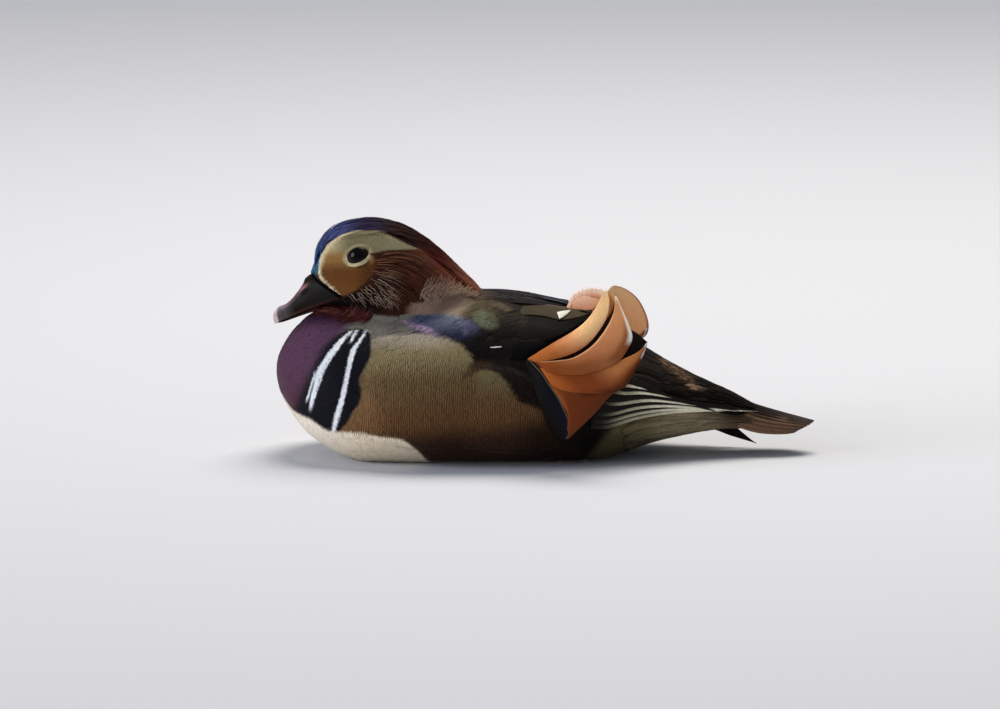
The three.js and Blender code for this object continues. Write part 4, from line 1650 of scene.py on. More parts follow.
TRACTS = (
    Tract(
        "coat_face", "face_plumage", FACE_VELVET, on_head, over_face,
        spacing=1.0, length=3.8, width=0.85, lift=0.13, ragged=0.15, shade=0.03, stray=0.08,
        crown=0.01,
    ),
    Tract(
        "coat_breast", "body_plumage", BREAST_SILK, on_breast, backwards,
        spacing=1.17, length=6.0, width=0.95, lift=0.28, ragged=0.2, stray=0.03,
        shade=0.05, crown=0.02, stations=5, parted=True,
    ),
    Tract(
        "coat_flank", "body_plumage", FLANK_BARRED, on_flank, along_flank,
        spacing=2.2, length=11.0, width=2.6, lift=0.33, columns=5, stations=6, sway=0.07,
        shade=0.04, crown=0.03, ragged=0.2, bite=0.5, bars=flank_bars,
    ),
    Tract(
        "coat_wing", "wing_plumage", FLIGHT, on_wing, backwards,
        spacing=2.5, length=13.0, width=2.7, lift=0.5, columns=5, stations=7, ragged=0.3,
        sway=0.08, shade=0.06, edge=0.03, crown=0.02, stray=0.2, headed=False,
    ),
    Tract(
        "coat_rear", "body_plumage", BODY_DOWN, on_rear, backwards,
        spacing=2.2, length=9.0, width=2.3, lift=0.35, ragged=0.4, crown=0.02, shade=0.04,
    ),
    Tract(
        "coat_tuft", "body_plumage", BODY_DOWN, on_tuft, upwards,
        spacing=0.7, length=9.0, width=0.3, lift=1.8, stations=7, ragged=0.3, sway=0.25,
        outline=Outline.HACKLE, stray=1.0, own="#a8907b", shade=0.12, crown=0.05,
    ),
)


@dataclass
class Coat:
    """The small feathers over the skin, tract by tract."""

    skin: Skin

    def build(self) -> None:
        """Make every tract."""
        for number, tract in enumerate(TRACTS):
            for side in Side if tract.parted else (None,):
                self._tract(tract, 100 + number, side)

    def _tract(self, tract: Tract, seed: int, side: Side | None) -> None:
        """Lay one tract's feathers.

        Args:
            tract: What they are like and where they grow.
            seed: The seed of their small differences.
            side: The side to lay alone, if the tract is parted in two.
        """
        draw = np.random.default_rng(seed)
        chosen = tract.chosen(self.skin.centres)
        if side:
            chosen &= (self.skin.centres[:, 1] > 0) == (side is Side.RIGHT)
        roots = self.skin.scatter(chosen, tract.spacing, seed)
        if tract.own:
            # Loose down thins out towards its upper edge and its front.
            s, t = roots[:, 0], plan_height(roots)
            share = 0.12 + ease(0.5, 8.0, Ruff.LOWER(s) - t) * (0.5 + 0.5 * ease(-68, -60, s))
            roots = roots[draw.random(len(roots)) < share]
        n = len(roots)
        lengths = tract.length * draw.uniform(0.8, 1.15, n)
        sway = draw.normal(0, tract.sway, n)
        centres, normals = self.skin.lay(roots, tract.way(roots), lengths, tract.stations, sway)
        along = np.linspace(0, 1, tract.stations)
        rise = -tract.bite + (tract.lift + tract.bite) * along**0.8
        rise = rise[None] * draw.uniform(0.85, 1.15, (n, 1))
        centres = centres + normals * rise[..., None]
        centres[..., 2] = np.maximum(centres[..., 2], 0.3)
        half = tract.width * tract.outline.half(tract.stations) * draw.uniform(0.85, 1.15, (n, 1))
        shade = np.clip(draw.normal(1, tract.shade, (n, 1, 1, 1)), 0.7, 1.3)
        wobble = draw.normal(0, tract.stray, (n, 1, 1, 3))

        def tint(p: Array, c: Array, t: Array) -> Array:
            """The body's colour, darker at the rim, each feather in its own shade.

            Args:
                p: The feathers' points, in millimetres.
                c: Their places across the feather, from -1 to 1.
                t: Their places along it, from 0 to 1.

            Returns:
                A linear colour for each point.
            """
            rim = 1 - tract.edge * (np.abs(c) ** 2 * (0.3 + 0.7 * t))[..., None]
            ground = (Markings.body if tract.headed else Markings.trunk)(p + wobble)
            if tract.own:
                # At the rear the down is painted lighter along its upper edge, a painted sheen, and
                # darker below that edge.
                high = ease(86, 90, plan_height(p))
                top_sheen_and_dimming = 1 + ease(-56, -46, p[..., 0]) * (0.6 * high - 0.35 * (1 - high))
                ground = 0.35 * ground + 0.65 * rgb(tract.own) * top_sheen_and_dimming[..., None]
            return ground * shade * rim * (0.88 + 0.17 * t[..., None])

        name = f"{tract.name}_{side.word}" if side else tract.name
        coat = Plumage(name, tract.slot, tract.finish)
        coat.add(
            centres, normals, half, tint, tract.columns, tract.crown, seed, tract.ragged, tract.bars
        )
        coat.build()


@dataclass
class Crest:
    """Long glossy feathers from the forehead over the crown to the nape."""

    skin: Skin
    count: int = 1500
    seed: int = 11

    def build(self) -> None:
        """Lay the crest's feathers over the crown."""
        draw = np.random.default_rng(self.seed)
        share = draw.random(self.count)
        x = -125 + 70 * share
        a = math.pi / 2 + draw.uniform(-1, 1, self.count) * (0.6 + 0.4 * share)
        roots = HEAD.above(x, a, np.full(self.count, -1.0))
        keep = plan_height(roots) > Markings.HEAD_CAP(roots[:, 0]) + 0.3
        roots, share = roots[keep], share[keep]
        n = len(roots)
        ways = np.stack([np.ones(n), -0.012 * roots[:, 1], -0.2 - 0.5 * share], axis=-1)
        front = ease(-112, -124, roots[:, 0])
        ways = mix(ways, np.array([0.45, 0.0, 1.0]), front)
        lengths = (9 + 27 * share) * draw.uniform(0.85, 1.1, n)
        stations = 8
        centres, normals = self.skin.lay(roots, ways, lengths, stations, draw.normal(0, 0.05, n))
        along = np.linspace(0, 1, stations)
        rise = (-0.3 + (0.8 + 0.9 * share[:, None]) * along**0.7) * draw.uniform(0.8, 1.2, (n, 1))
        # The crown feathers stand up a little over the forehead and lie close at their lower edge.
        edge = plan_height(centres) - Markings.HEAD_CAP(centres[..., 0])
        middle = ease(10, 5, np.abs(centres[..., 1])) * ease(-108, -116, centres[..., 0])
        puff = (1.1 + 1.3 * ease(-106, -121, centres[..., 0])) * along**0.4
        puff = puff * np.maximum(ease(0, 7, edge), 0.9 * middle)
        centres = centres + normals * (rise + puff)[..., None]
        half = (0.7 + 0.45 * share)[:, None] * Outline.HACKLE.half(stations)
        shade = draw.normal(1, 0.09, (n, 1, 1, 1))

        def tint(p: Array, c: Array, t: Array) -> Array:
            """The body's colour, paler towards each feather's sides."""
            return Markings.body(p) * shade * (0.85 + 0.25 * np.abs(c) * t)[..., None]

        crest = Plumage("crest_feathers", "crest_plumage", CREST_GLOSS)
        crest.add(centres, normals, half, tint, 3, 0.25, self.seed)
        piece = crest.build()
        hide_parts("crest")


@dataclass
class Ruff:
    """Hackles with pale shafts that fan back and down from the cheek on one side."""

    skin: Skin
    side: Side

    # The edges of the fan in the side view, as heights by length.
    LOWER = Curve(
        [(-112, 87.5), (-100, 86.5), (-90, 84.5), (-80, 83.5), (-75, 84.5), (-71, 86.5),
         (-66.5, 89.5), (-62, 91.5), (-55.5, 92), (-47, 91), (-38, 90)]
    )
    UPPER = Curve(
        [(-112, 87.6), (-104, 90.0), (-98, 93), (-94.5, 98), (-92.5, 109.5), (-68, 112),
         (-58, 104), (-44, 93)]
    )

    def build(self) -> None:
        """Lay the hackles of this side."""
        ruff = Plumage(f"ruff_{self.side.word}", "ruff_plumage", HACKLE)
        self._fan(ruff, 21)
        self._beard(ruff, 22)
        ruff.build()

    @staticmethod
    def _slope(s: float, t: float) -> float:
        """The slope of the hackles in the side view: level behind the eye, steep below.

        Args:
            s: The root's length.
            t: Its height in the side view.

        Returns:
            The slope, as an angle in radians.
        """
        low = min(1.0, max(0.0, (109.0 - t) / 21.0))
        front = 0.06 - 0.74 * low
        rear = min(1.0, max(0.0, (s + 86.0) / 26.0))
        rear = rear * rear * (3 - 2 * rear)
        return front * (1 - rear) - 0.66 * rear

    def _fan(self, ruff: Plumage, seed: int) -> None:
        """The main fan behind and below the cheek.

        Args:
            ruff: The feathers to add to.
            seed: What the random draws start from.
        """
        draw = np.random.default_rng(seed)
        c = self.skin.centres
        s, t = c[:, 0], plan_height(c)
        chosen = (c[:, 1] * self.side.value > 3) & (s > -112) & (s < -50)
        chosen &= (t > self.LOWER(s)) & (t < self.UPPER(s))
        roots = self.skin.scatter(chosen, 1.9, seed)
        m = len(roots)
        s, t = roots[:, 0], plan_height(roots)
        slopes = np.array([self._slope(a, b) for a, b in zip(s, t)])
        ways = np.stack([np.cos(slopes), 0 * slopes, np.sin(slopes)], axis=-1)
        long = ease(-100, -80, s) * ease(84, 98, t)
        lengths = (8 + 15 * long) * draw.uniform(0.8, 1.15, m)
        lengths = lengths * (1 - 0.35 * ease(-66, -52, s))
        room = np.maximum(2.5, (t - self.LOWER(s)) / 0.61 + 1.5)
        lengths = np.where(s > -80, np.minimum(lengths, room), lengths)
        stations = 12
        centres, normals = self.skin.lay(
            roots, ways, lengths, stations, draw.normal(0, 0.06, m), self._slope
        )
        along = np.linspace(0, 1, stations)
        across = unit(np.cross(normals, np.gradient(centres, axis=1)))
        run = lengths[:, None] * along
        curl = 0.24 * ease(101, 93, t) * ease(-78, -88, s) + 0.05
        wave = curl[:, None] * np.sin(2 * math.pi * run / 3.6 + 6.28 * draw.random((m, 1)))
        rise = (-0.3 + 1.5 * along**0.9)[None] * draw.uniform(0.8, 1.15, (m, 1))
        centres = centres + normals * rise[..., None] + across * wave[..., None]
        half = 0.85 * Outline.HACKLE.half(stations) * draw.uniform(0.85, 1.15, (m, 1))
        shade = draw.normal(1, 0.12, (m, 1, 1, 1))
        lit = draw.uniform(0.35, 1.0, (m, 1, 1))

        def tint(p: Array, c: Array, t: Array) -> Array:
            """Dark chestnut with a buff shaft that varies from feather to feather.

            Args:
                p: The feathers' points, in millimetres.
                c: Their places across the feather, from -1 to 1.
                t: Their places along it, from 0 to 1.

            Returns:
                A linear colour for each point.
            """
            s, height = p[..., 0], plan_height(p)
            base = wash(
                "#1b0e0b",
                ("#2c150d", ease(94, 108, height)),
                ("#341811", ease(-80, -66, s)),
                ("#5a2c1e", ease(-64, -50, s)),
            )
            pale = wash(
                "#8f5c3c",
                ("#b39a80", ease(103, 94, height)),
                ("#7e4c33", ease(-84, -74, s)),
            )
            shaft = ease(0.45, 0.15, np.abs(c)) * ease(0.02, 0.2, t) * ease(1.0, 0.88, t)
            shaft = shaft * (1 - 0.6 * ease(-80, -70, s) * ease(98, 92, height))
            return mix(base, pale, lit * shaft) * shade

        ruff.add(centres, normals, half, tint, 5, 0.2, seed)

    def _beard(self, ruff: Plumage, seed: int) -> None:
        """The dark red hackles that hang from under the cheek over the breast.

        Args:
            ruff: The feathers to add to.
            seed: What the random draws start from.
        """
        draw = np.random.default_rng(seed)
        roots, ways = [], []
        for _ in range(170):
            share = draw.random()
            x, height = -121 + 30 * share, 80.0 + 4.0 * draw.random() - 1.5 * share
            hit = self.skin.from_side(x, height, self.side)
            turn = -math.radians(130 - 14 * share) + draw.normal(0, 0.09)
            roots.append(hit)
            ways.append([math.cos(turn), 0.0, math.sin(turn)])
        roots, ways = np.array(roots), np.array(ways)
        m = len(roots)
        lengths = 13 * draw.uniform(0.6, 1.25, m)
        stations = 8
        centres, normals = self.skin.lay(roots, ways, lengths, stations, 0.0)
        along = np.linspace(0, 1, stations)
        rise = (-0.3 + 1.7 * along**0.8)[None] * draw.uniform(0.7, 1.2, (m, 1))
        centres = centres + normals * rise[..., None]
        half = 0.85 * Outline.HACKLE.half(stations) * np.ones((m, 1))
        bright = draw.random((m, 1, 1, 1)) ** 3

        def tint(p: Array, c: Array, t: Array) -> Array:
            """Dark red with a paler shaft.

            Args:
                p: The feathers' points, in millimetres; not used.
                c: Their places across the feather, from -1 to 1.
                t: Their places along it, from 0 to 1.

            Returns:
                A linear colour for each point.
            """
            base = wash("#221013", ("#4a1d1c", ease(0, 1, t)))
            shaft = (ease(0.5, 0.15, np.abs(c)) * ease(0.1, 0.5, t))[..., None] * bright
            return base * (1 - shaft) + rgb("#a8684a") * shaft

        ruff.add(centres, normals, half, tint, 5, 0.2, seed)


def spline(points: Array, count: int) -> Array:
    """Points spread evenly along a smooth curve through the given points.

    Args:
        points: The points the curve passes.
        count: How many points are wanted.

    Returns:
        The points of the curve.
    """
    points = np.asarray(points, float)
    padded = np.concatenate([[2 * points[0] - points[1]], points, [2 * points[-1] - points[-2]]])
    dense = []
    for i in range(len(points) - 1):
        a, b, c, d = padded[i : i + 4]
        t = np.linspace(0, 1, 24, endpoint=False)[:, None]
        dense.append(
            0.5 * (2 * b + (c - a) * t + (2 * a - 5 * b + 4 * c - d) * t**2
                   + (3 * b - a - 3 * c + d) * t**3)
        )
    line = np.concatenate([*dense, points[-1:]])
    length = np.concatenate([[0], np.cumsum(np.linalg.norm(np.diff(line, axis=0), axis=1))])
    where = np.linspace(0, length[-1], count)
    return np.stack([np.interp(where, length, line[:, k]) for k in range(line.shape[1])], axis=-1)


# A stroke that doesn't change along its band.
ALL = (-2.0, -1.0)


@dataclass(frozen=True)
class Stroke:
    """A soft stroke of colour on a band, and between which shares of it the stroke rises."""

    code: str
    strength: float
    along: tuple[float, float]
    across: tuple[float, float] | None = None
    until: tuple[float, float] | None = None

    def share(self, along: Array, across: Array) -> Array:
        """How strong the stroke is.

        Args:
            along: How far along the band the points are, from 0 to 1.
            across: How far across it they are.

        Returns:
            The stroke's share at each point.
        """
        share = self.strength * ease(*self.along, along)
        if self.across:
            share = share * ease(*self.across, across)
        return share * ease(*self.until, along) if self.until else share


@dataclass(frozen=True)
class Band:
    """A broad feather, or the part of one that shows, between two edges of the side view.

    It lies out millimetres from its surface and bulges further between its edges. Its colour
    runs from root to tip, under rims and strokes.
    """

    upper: Pairs
    lower: Pairs
    out: float
    root: str
    tip: str
    rim_low: str | None = None
    rim_high: str | None = None
    rim: float = 0.08
    bulge: float = 1.0
    stations: int = 30
    columns: int = 11
    strokes: tuple[Stroke, ...] = ()

    def grid(self) -> tuple[Array, Array, Array]:
        """The band's grid in the side view.

        Returns:
            The points as (length, height), how far along and how far across they are.
        """
        upper = spline(np.array(self.upper), self.stations)
        lower = spline(np.array(self.lower), self.stations)
        across = np.linspace(0, 1, self.columns)[None] + np.zeros((self.stations, 1))
        along = np.linspace(0, 1, self.stations)[:, None] + 0 * across
        plan = lower[:, None] * (1 - across[..., None]) + upper[:, None] * across[..., None]
        return plan, along, across

    def colour(self, along: Array, across: Array) -> Array:
        """The band's colours, with its rims.

        Args:
            along: Places along the band, from 0 to 1.
            across: Places across it, from 0 to 1.

        Returns:
            A linear colour for each point.
        """
        colour = mix(rgb(self.root), rgb(self.tip), along)
        if self.rim_high:
            colour = mix(colour, rgb(self.rim_high), ease(1 - self.rim, 1 - 0.3 * self.rim, across))
        if self.rim_low:
            colour = mix(colour, rgb(self.rim_low), ease(self.rim, 0.3 * self.rim, across))
        return wash(colour, *((s.code, s.share(along, across)) for s in self.strokes))

    def lift(self, along: Array, across: Array) -> Array:
        """How far out the band stands, bulging between its edges."""
        hump = np.sin(math.pi * across) * np.sin(math.pi * np.minimum(1, 0.1 + along))
        return self.out + self.bulge * hump


@dataclass
class Wing:
    """One folded wing: the long feathers of the back, then the flights behind the sail."""

    skin: Skin
    side: Side

    # Two small white marks that show between the long feathers.
    TICK = Band(
        [(-27.8, 58.5), (-25, 58.8), (-21.6, 59.0)], [(-27.8, 58.2), (-25, 58.1), (-21.6, 58.5)],
        2.1, "#c6c6c0", "#d2d2cc", bulge=0.1, stations=8, columns=4,
    )
    PATCH = Band(
        [(8.6, 77.9), (12.4, 78.7), (16.2, 79.2)], [(9.9, 74.1), (13.0, 75.9), (15.8, 78.6)],
        3.7, "#e4e6df", "#d4d6ce", bulge=0.2, stations=12, columns=7,
    )
    TERTIALS = (
        Band(
            [(-36, 62), (-18, 62), (-4, 63), (10, 66), (22, 72)],
            [(-37, 53.8), (-27.7, 51.6), (-16.8, 51.2), (-7.5, 52.3), (8, 62)],
            1.4, "#0c0a0b", "#0d0b0d", bulge=0.5,
        ),
        Band(
            [(-34, 76), (-12, 77), (4, 76.8), (18, 77), (28.5, 77.8)],
            [(-34, 61), (-14, 60), (2, 61), (14, 66.5), (27.9, 76.4)],
            2.0, "#1b1712", "#0b0a0b", bulge=0.5,
        ),
        Band(
            [(-36, 84), (-18, 84), (0, 82.6), (14.4, 80.8), (24, 79.6), (29, 78.2)],
            [(-36, 77), (-18, 76.6), (0, 76), (10, 73.4), (18, 74.6), (28.5, 77.4)],
            2.7, "#332d22", "#4f4636", rim_high="#5d5848", rim=0.12, bulge=0.5,
        ),
        # This band's upper rim is painted grey-blue along the top of the back: a painted sheen.
        Band(
            [(-40, 90.6), (-33.6, 90.8), (-19.3, 90.6), (-6.7, 88.4), (6, 85.8), (15, 83.2)],
            [(-40, 83), (-30, 83), (-19, 83.4), (-6, 82.6), (6, 81.5), (14.6, 82)],
            2.6, "#2a2320", "#1e1b1d", rim_high="#4c515c", rim=0.2, bulge=0.5,
        ),
    )
    # Each flight's lower edge in the side view, and its height at its root.
    FLIGHTS = (
        ([(41, 36.8), (49, 36.2), (57.6, 34.9)], 8.0),
        ([(37, 33.4), (45, 32.2), (56, 32.4), (71.2, 30.4)], 8.0),
        ([(33, 27.2), (41, 26.2), (60, 28.3), (84.9, 26.0)], 8.0),
        ([(30, 20.6), (38, 20.6), (52, 24.0), (66, 25.2), (80, 24.6), (96, 22.7)], 7.5),
        ([(28, 16.6), (36, 16.4), (52, 20.8), (68, 23.0), (90, 23.6), (108.6, 23.0)], 7.0),
        ([(27, 13.4), (36, 13.6), (52, 18.4), (72, 21.8), (96, 22.9), (119.4, 22.8)], 6.5),
    )
    # How far out the flights lie, by length.
    REACH = {
        Side.LEFT: Curve(
            [(10, 52), (25, 49.5), (46, 40.5), (66, 29.5), (83, 22), (97, 17), (111, 13), (124, 10)]
        ),
        Side.RIGHT: Curve(
            [(10, 52), (25, 49.5), (46, 40.5), (66, 30), (83, 22.5), (97, 17.5), (111, 14),
             (124, 12)]
        ),
    }
    # The far wing's tips hang lower, so that they show under the tail.
    DROOP = Curve([(20, 0), (46, 0), (72, 4), (96, 10.5), (104, 13.6), (119.4, 18.3), (125, 20.5)])

    def build(self) -> None:
        """Build the long feathers of the back and the flights."""
        wing = Plumage(f"wing_feathers_{self.side.word}", "wing_plumage", FLIGHT)
        self._flights(wing)
        for number, band in enumerate((*self.TERTIALS, self.TICK, self.PATCH)):
            plan, along, across = band.grid()
            points, normals = self._over_body(plan)
            out = band.lift(along, across)
            small = band in (self.TICK, self.PATCH)
            lift = out if small else (out + 0.9) * ease(0.25, 0.62, along) - 0.9
            if band is self.TERTIALS[-1]:
                lift = lift * ease(1.02, 0.7, across)
            view = np.array([0, self.side.value * math.cos(VIEW_TILT), math.sin(VIEW_TILT)])
            points = points + view * (lift / np.maximum(0.5, normals @ view))[..., None]
            wing.add_band(points, band.colour(along, across), number, self.side is Side.LEFT)
        piece = wing.build(thickness=0.25)
        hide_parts(f"wing_{self.side.word}")

    def _over_body(self, plan: Array) -> tuple[Array, Array]:
        """Points of the side view on the skin, or beyond it where the body ends.

        Args:
            plan: The points as (length, height).

        Returns:
            The points and the outward directions, smoothed.
        """
        k, c, _ = plan.shape
        points = np.empty((k, c, 3))
        normals = np.empty((k, c, 3))
        side = self.side.value
        for i in range(k):
            for j in range(c):
                x, t = plan[i, j]
                hit = self.skin.from_side(float(x), float(t), self.side)
                if hit is None:
                    roof = float(TORSO.top(x))
                    hit = np.array([x, side * 2.0, max(roof, t)])
                    normals[i, j] = [0, 0.3 * side, 1]
                else:
                    normal = self.skin.tree.find_nearest(Vector(hit))[1]
                    normals[i, j] = np.array(normal) + np.array([0, 0.25 * side, 0.1])
                points[i, j] = hit
        for _ in range(2):
            points[1:-1] = (points[:-2] + 2 * points[1:-1] + points[2:]) / 4
            normals[1:-1] = (normals[:-2] + 2 * normals[1:-1] + normals[2:]) / 4
        return points, unit(normals)

    def _flights(self, wing: Plumage) -> None:
        """The flights, each shorter one lying over the next, with pale outer edges.

        Args:
            wing: The feathers to add to.
        """
        side = self.side.value
        for number, (lower, rise) in enumerate(self.FLIGHTS):
            lower = np.array(lower)
            left, right = lower[0, 0], lower[-1, 0]
            share = (lower[:, 0] - left) / (right - left)
            power = 3 if self.side is Side.LEFT else 7
            upper = lower + np.stack([0 * share, rise * (1 - share**power) + 0.2], axis=-1)
            band = Band(
                upper, lower, 0.6 + 0.65 * (len(self.FLIGHTS) - 1 - number), "#211d1b", "#242020",
                bulge=0.5, stations=44, columns=13,
            )
            plan, along, across = band.grid()
            x, t = plan[..., 0], plan[..., 1]
            z = t + 7.0
            for _ in range(8):
                y = self.REACH[self.side](x) * (1 - 0.3 * ease(38, 66, z))
                y = y + band.lift(along, across)
                z = t + RISE_PER_WIDTH * y
            if self.side is Side.RIGHT:
                last = number == len(self.FLIGHTS) - 1
                t = t + 2.5 * across * ease(80, 102, x) * ease(119, 106, x) * last
                z = t - self.DROOP(x) + RISE_PER_WIDTH * y * (ease(90, 46, x) - ease(46, 90, x))
            colour = band.colour(along, across)
            height = rise * (1 - along**power) + 0.2
            wide = (1.9 - 1.0 * along) * ease(1.02, 0.8, along)
            pale = ease(wide + 0.25, wide - 0.25, across * height)
            cream = wash(
                "#3d3c30",
                ("#aaa68c", ease(0.0, 0.3, along)),
                ("#ebe5cc", ease(0.3, 0.6, along)),
            )
            if self.side is Side.RIGHT:
                pale = pale * ease(0.62, 0.5, along)
            colour = mix(colour, cream, pale * (0.15 + 0.85 * ease(31, 43, x)))
            wing.add_band(
                np.stack([x, side * y, z], axis=-1), colour, 10 + number, self.side is Side.LEFT
            )


@dataclass
class Mantle:
    """The short feathers along the middle of the back, where the two wings meet."""

    seed: int = 31

    # The back's height along its middle.
    RIDGE = Curve(
        [(-62, 84.5), (-45, 88.8), (-33.5, 90.6), (-20, 90.4), (-9.9, 89.5), (3.3, 86.4),
         (14.3, 83.2), (30, 75.5), (45, 67)]
    )

    def build(self) -> None:
        """Lay rows of feathers, each over the next one back."""
        draw = np.random.default_rng(self.seed)
        rows = [(x, y) for x in np.arange(14, -54, -3.4) for y in np.arange(-10, 10.1, 3.3)]
        x, y = (np.array(rows) + draw.uniform(-0.8, 0.8, (len(rows), 2))).T
        stations = 7
        run = np.linspace(0, 1, stations)[None]
        xs = x[:, None] + 21 * draw.uniform(0.85, 1.1, (len(x), 1)) * run
        ys = y[:, None] * (1 + 0.12 * run)
        zs = self.RIDGE(xs) - 0.03 * ys**2 - 0.9 + 1.0 * run - 1.6 * ease(18, 34, xs)
        centres = np.stack([xs, ys, zs], axis=-1)
        normals = unit(np.stack([0 * xs, 0.07 * ys, 1 + 0 * xs], axis=-1))
        half = 3.9 * Outline.COVERT.half(stations) * draw.uniform(0.9, 1.1, (len(x), 1))
        shade = draw.normal(1, 0.08, (len(x), 1, 1, 1))

        def tint(p: Array, c: Array, t: Array) -> Array:
            """Brown in front and black behind, where the rims carry a painted grey-blue sheen.

            Args:
                p: The feathers' points, in millimetres.
                c: Their places across the feather, from -1 to 1.
                t: Their places along it, from 0 to 1; not used.

            Returns:
                A linear colour for each point.
            """
            s = p[..., 0]
            # The grey at the rims is a painted sheen.
            rim = ease(0.7, 1.0, np.abs(c)) * 0.4 * ease(-34, -24, s)
            return wash("#54473a", ("#211d1c", ease(-38, -22, s)), ("#474a52", rim)) * shade

        mantle = Plumage("mantle_feathers", "wing_plumage", FLIGHT)
        mantle.add(centres, normals, half, tint, 5, 0.08, self.seed, 0.3)
        mantle.build(thickness=0.2)


@dataclass
class Sail:
    """A raised sail feather: a navy outer web and broad bands of orange barbs."""

    side: Side

    WEB = Band(
        [(-7.5, 52.2), (0, 44.5), (3.9, 38.5), (8.8, 31.5), (12.1, 25.1), (14.9, 17.9),
         (14.9, 11.2), (13.4, 8.0)],
        [(-8.5, 50), (-5.5, 42), (-3.6, 35.5), (-1.5, 28.5), (2.8, 19.0), (7.7, 12.3),
         (11.0, 8.6), (13.0, 7.4)],
        0.5, "#0c0b0a", "#0c0b0a", stations=40,
        strokes=(
            Stroke("#11131f", 1.0, (0.15, 0.6), (0.15, 0.75)),
            Stroke("#8f7b66", 1.0, ALL, (0.95, 0.985)),
        ),
    )
    DARK = Band(
        [(26, 58), (38, 62), (46, 67), (50, 67.5), (57.4, 61.4)],
        [(26, 52), (38, 50), (46, 51), (51, 54), (57.0, 59.6)],
        -1.2, "#22120e", "#150f0e",
    )
    GAP = Band(
        [(-2, 50.3), (12, 57), (24, 63), (32, 70), (38, 78), (40.4, 87)],
        [(2, 47), (14, 50), (27, 56), (34, 63), (38, 71), (40.6, 80)],
        -0.2, "#27130d", "#331a13", bulge=0.2,
    )
    STRIPS = (
        Band(
            [(-7.5, 52.1), (6.0, 60.6), (16.1, 66.6), (22.8, 71.7), (27.9, 77.7), (31.2, 83.7),
             (34.2, 90.4)],
            [(-3.3, 50.2), (7.6, 52.1), (17.7, 55.5), (25.3, 60.6), (31.2, 67.5), (35.4, 75.1),
             (36.9, 82.8), (35.6, 90.0)],
            3.0, "#e4833a", "#ffcda0", bulge=1.5, stations=44, columns=15,
            strokes=(
                Stroke("#a65820", 0.85, (0.5, 0.12)),
                Stroke("#9a5a28", 0.6, (0.6, 0.35), (0.3, 0.0)),
                Stroke("#9a5a28", 0.6, (0.7, 0.4), (0.85, 1.0)),
                Stroke("#ffce90", 0.8, (0.4, 0.6), (0.02, 0.2)),
                Stroke("#f2d9bd", 0.8, (0.93, 0.99)),
            ),
        ),
        Band(
            [(-2.5, 50.4), (9.3, 51.2), (17.7, 52.9), (27.0, 58.9), (32.9, 65.7), (37.1, 72.6),
             (39.4, 79), (40.0, 86.6)],
            [(2.6, 45.2), (10.2, 43.3), (21.1, 43.3), (31.2, 45.7), (40.5, 49.5), (45.2, 55),
             (49.2, 63.0), (47.6, 70), (44.6, 77.3), (40.6, 86.4)],
            2.0, "#96440e", "#d89a6a", rim_high="#e8b482", bulge=1.5, stations=44, columns=15,
            strokes=(
                Stroke("#f2d9bd", 0.8, (0.93, 0.99)),
                # Painted shade: darker towards the band's root and lower edge.
                Stroke("#82451c", 0.6, (0.6, 0.3), (0.95, 0.45)),
                Stroke("#8a4a24", 0.85, (0.4, 0.55), (0.45, 0.2), (0.85, 0.7)),
                Stroke("#ece7df", 1.0, (0.63, 0.68), (0.17, 0.12)),
            ),
        ),
        Band(
            [(-0.8, 47.2), (10.2, 44.2), (21.1, 44.2), (31.2, 46.6), (40.5, 50.4), (48.9, 54),
             (53.9, 57.2), (57.1, 61)],
            [(5.1, 38.0), (12.7, 34.5), (24.5, 33.1), (38.0, 33.3), (43.0, 35.4), (46.4, 38.2),
             (53.4, 50.4), (57.4, 60.4)],
            1.0, "#8c4116", "#7a4224", rim_high="#a86436", rim=0.05, bulge=1.5, stations=44,
            columns=15,
            strokes=(
                Stroke("#c07c48", 0.8, (0.4, 0.65), (0.2, 0.6)),
                # Painted shadow along the lower edge, where this band meets the next one down.
                Stroke("#45200c", 0.9, (0.3, 0.5), (0.32, 0.05), (0.95, 0.8)),
                Stroke("#c0682c", 0.7, (0.3, 0.05)),
            ),
        ),
        Band(
            [(4.0, 38.8), (12.7, 35.6), (24.5, 34.2), (36, 34.2), (41.5, 36)],
            [(9.0, 31.0), (12.4, 25.0), (15.1, 17.9), (13.6, 8.0), (21.1, 14.6), (28.7, 22.0),
             (36.3, 31.0), (41.9, 35.4)],
            0.0, "#7f3d1a", "#5e2c14", rim_high="#96552e", rim=0.04, bulge=1.5, stations=44,
            columns=15,
            strokes=(
                Stroke("#a65a26", 0.6, (0.3, 0.05)),
                # Painted shadow just under the upper edge, where the band above meets it.
                Stroke("#45200e", 0.8, (0.35, 0.6), (0.72, 0.97)),
            ),
        ),
    )
    # The feather's own body behind the bands, so that nothing shows between them.
    BACK = Band(
        [(-5, 51), (6, 58), (16, 64), (23, 69), (29, 75.5), (33, 82), (36.5, 88.5)],
        [(13.6, 11), (21, 17.5), (28.5, 25), (36, 33.5), (44, 39.5), (51.5, 51), (54, 59), (47, 62),
         (45, 69), (42, 77), (39, 85.5)],
        -2.0, "#64300f", "#b87a48", bulge=0.6, stations=40, columns=13,
    )
    FRILL = Band(
        [(13.8, 80.9), (16.0, 85.2), (18.6, 88.2), (23.5, 90.2), (29, 90.8), (34.2, 89.4)],
        [(14.2, 80.0), (20, 79.4), (27, 79.0), (30.6, 81.2), (33, 84.5), (34.3, 87.7)],
        1.6, "#d28f68", "#f4c8ab", bulge=0.4, stations=44, columns=15,
    )
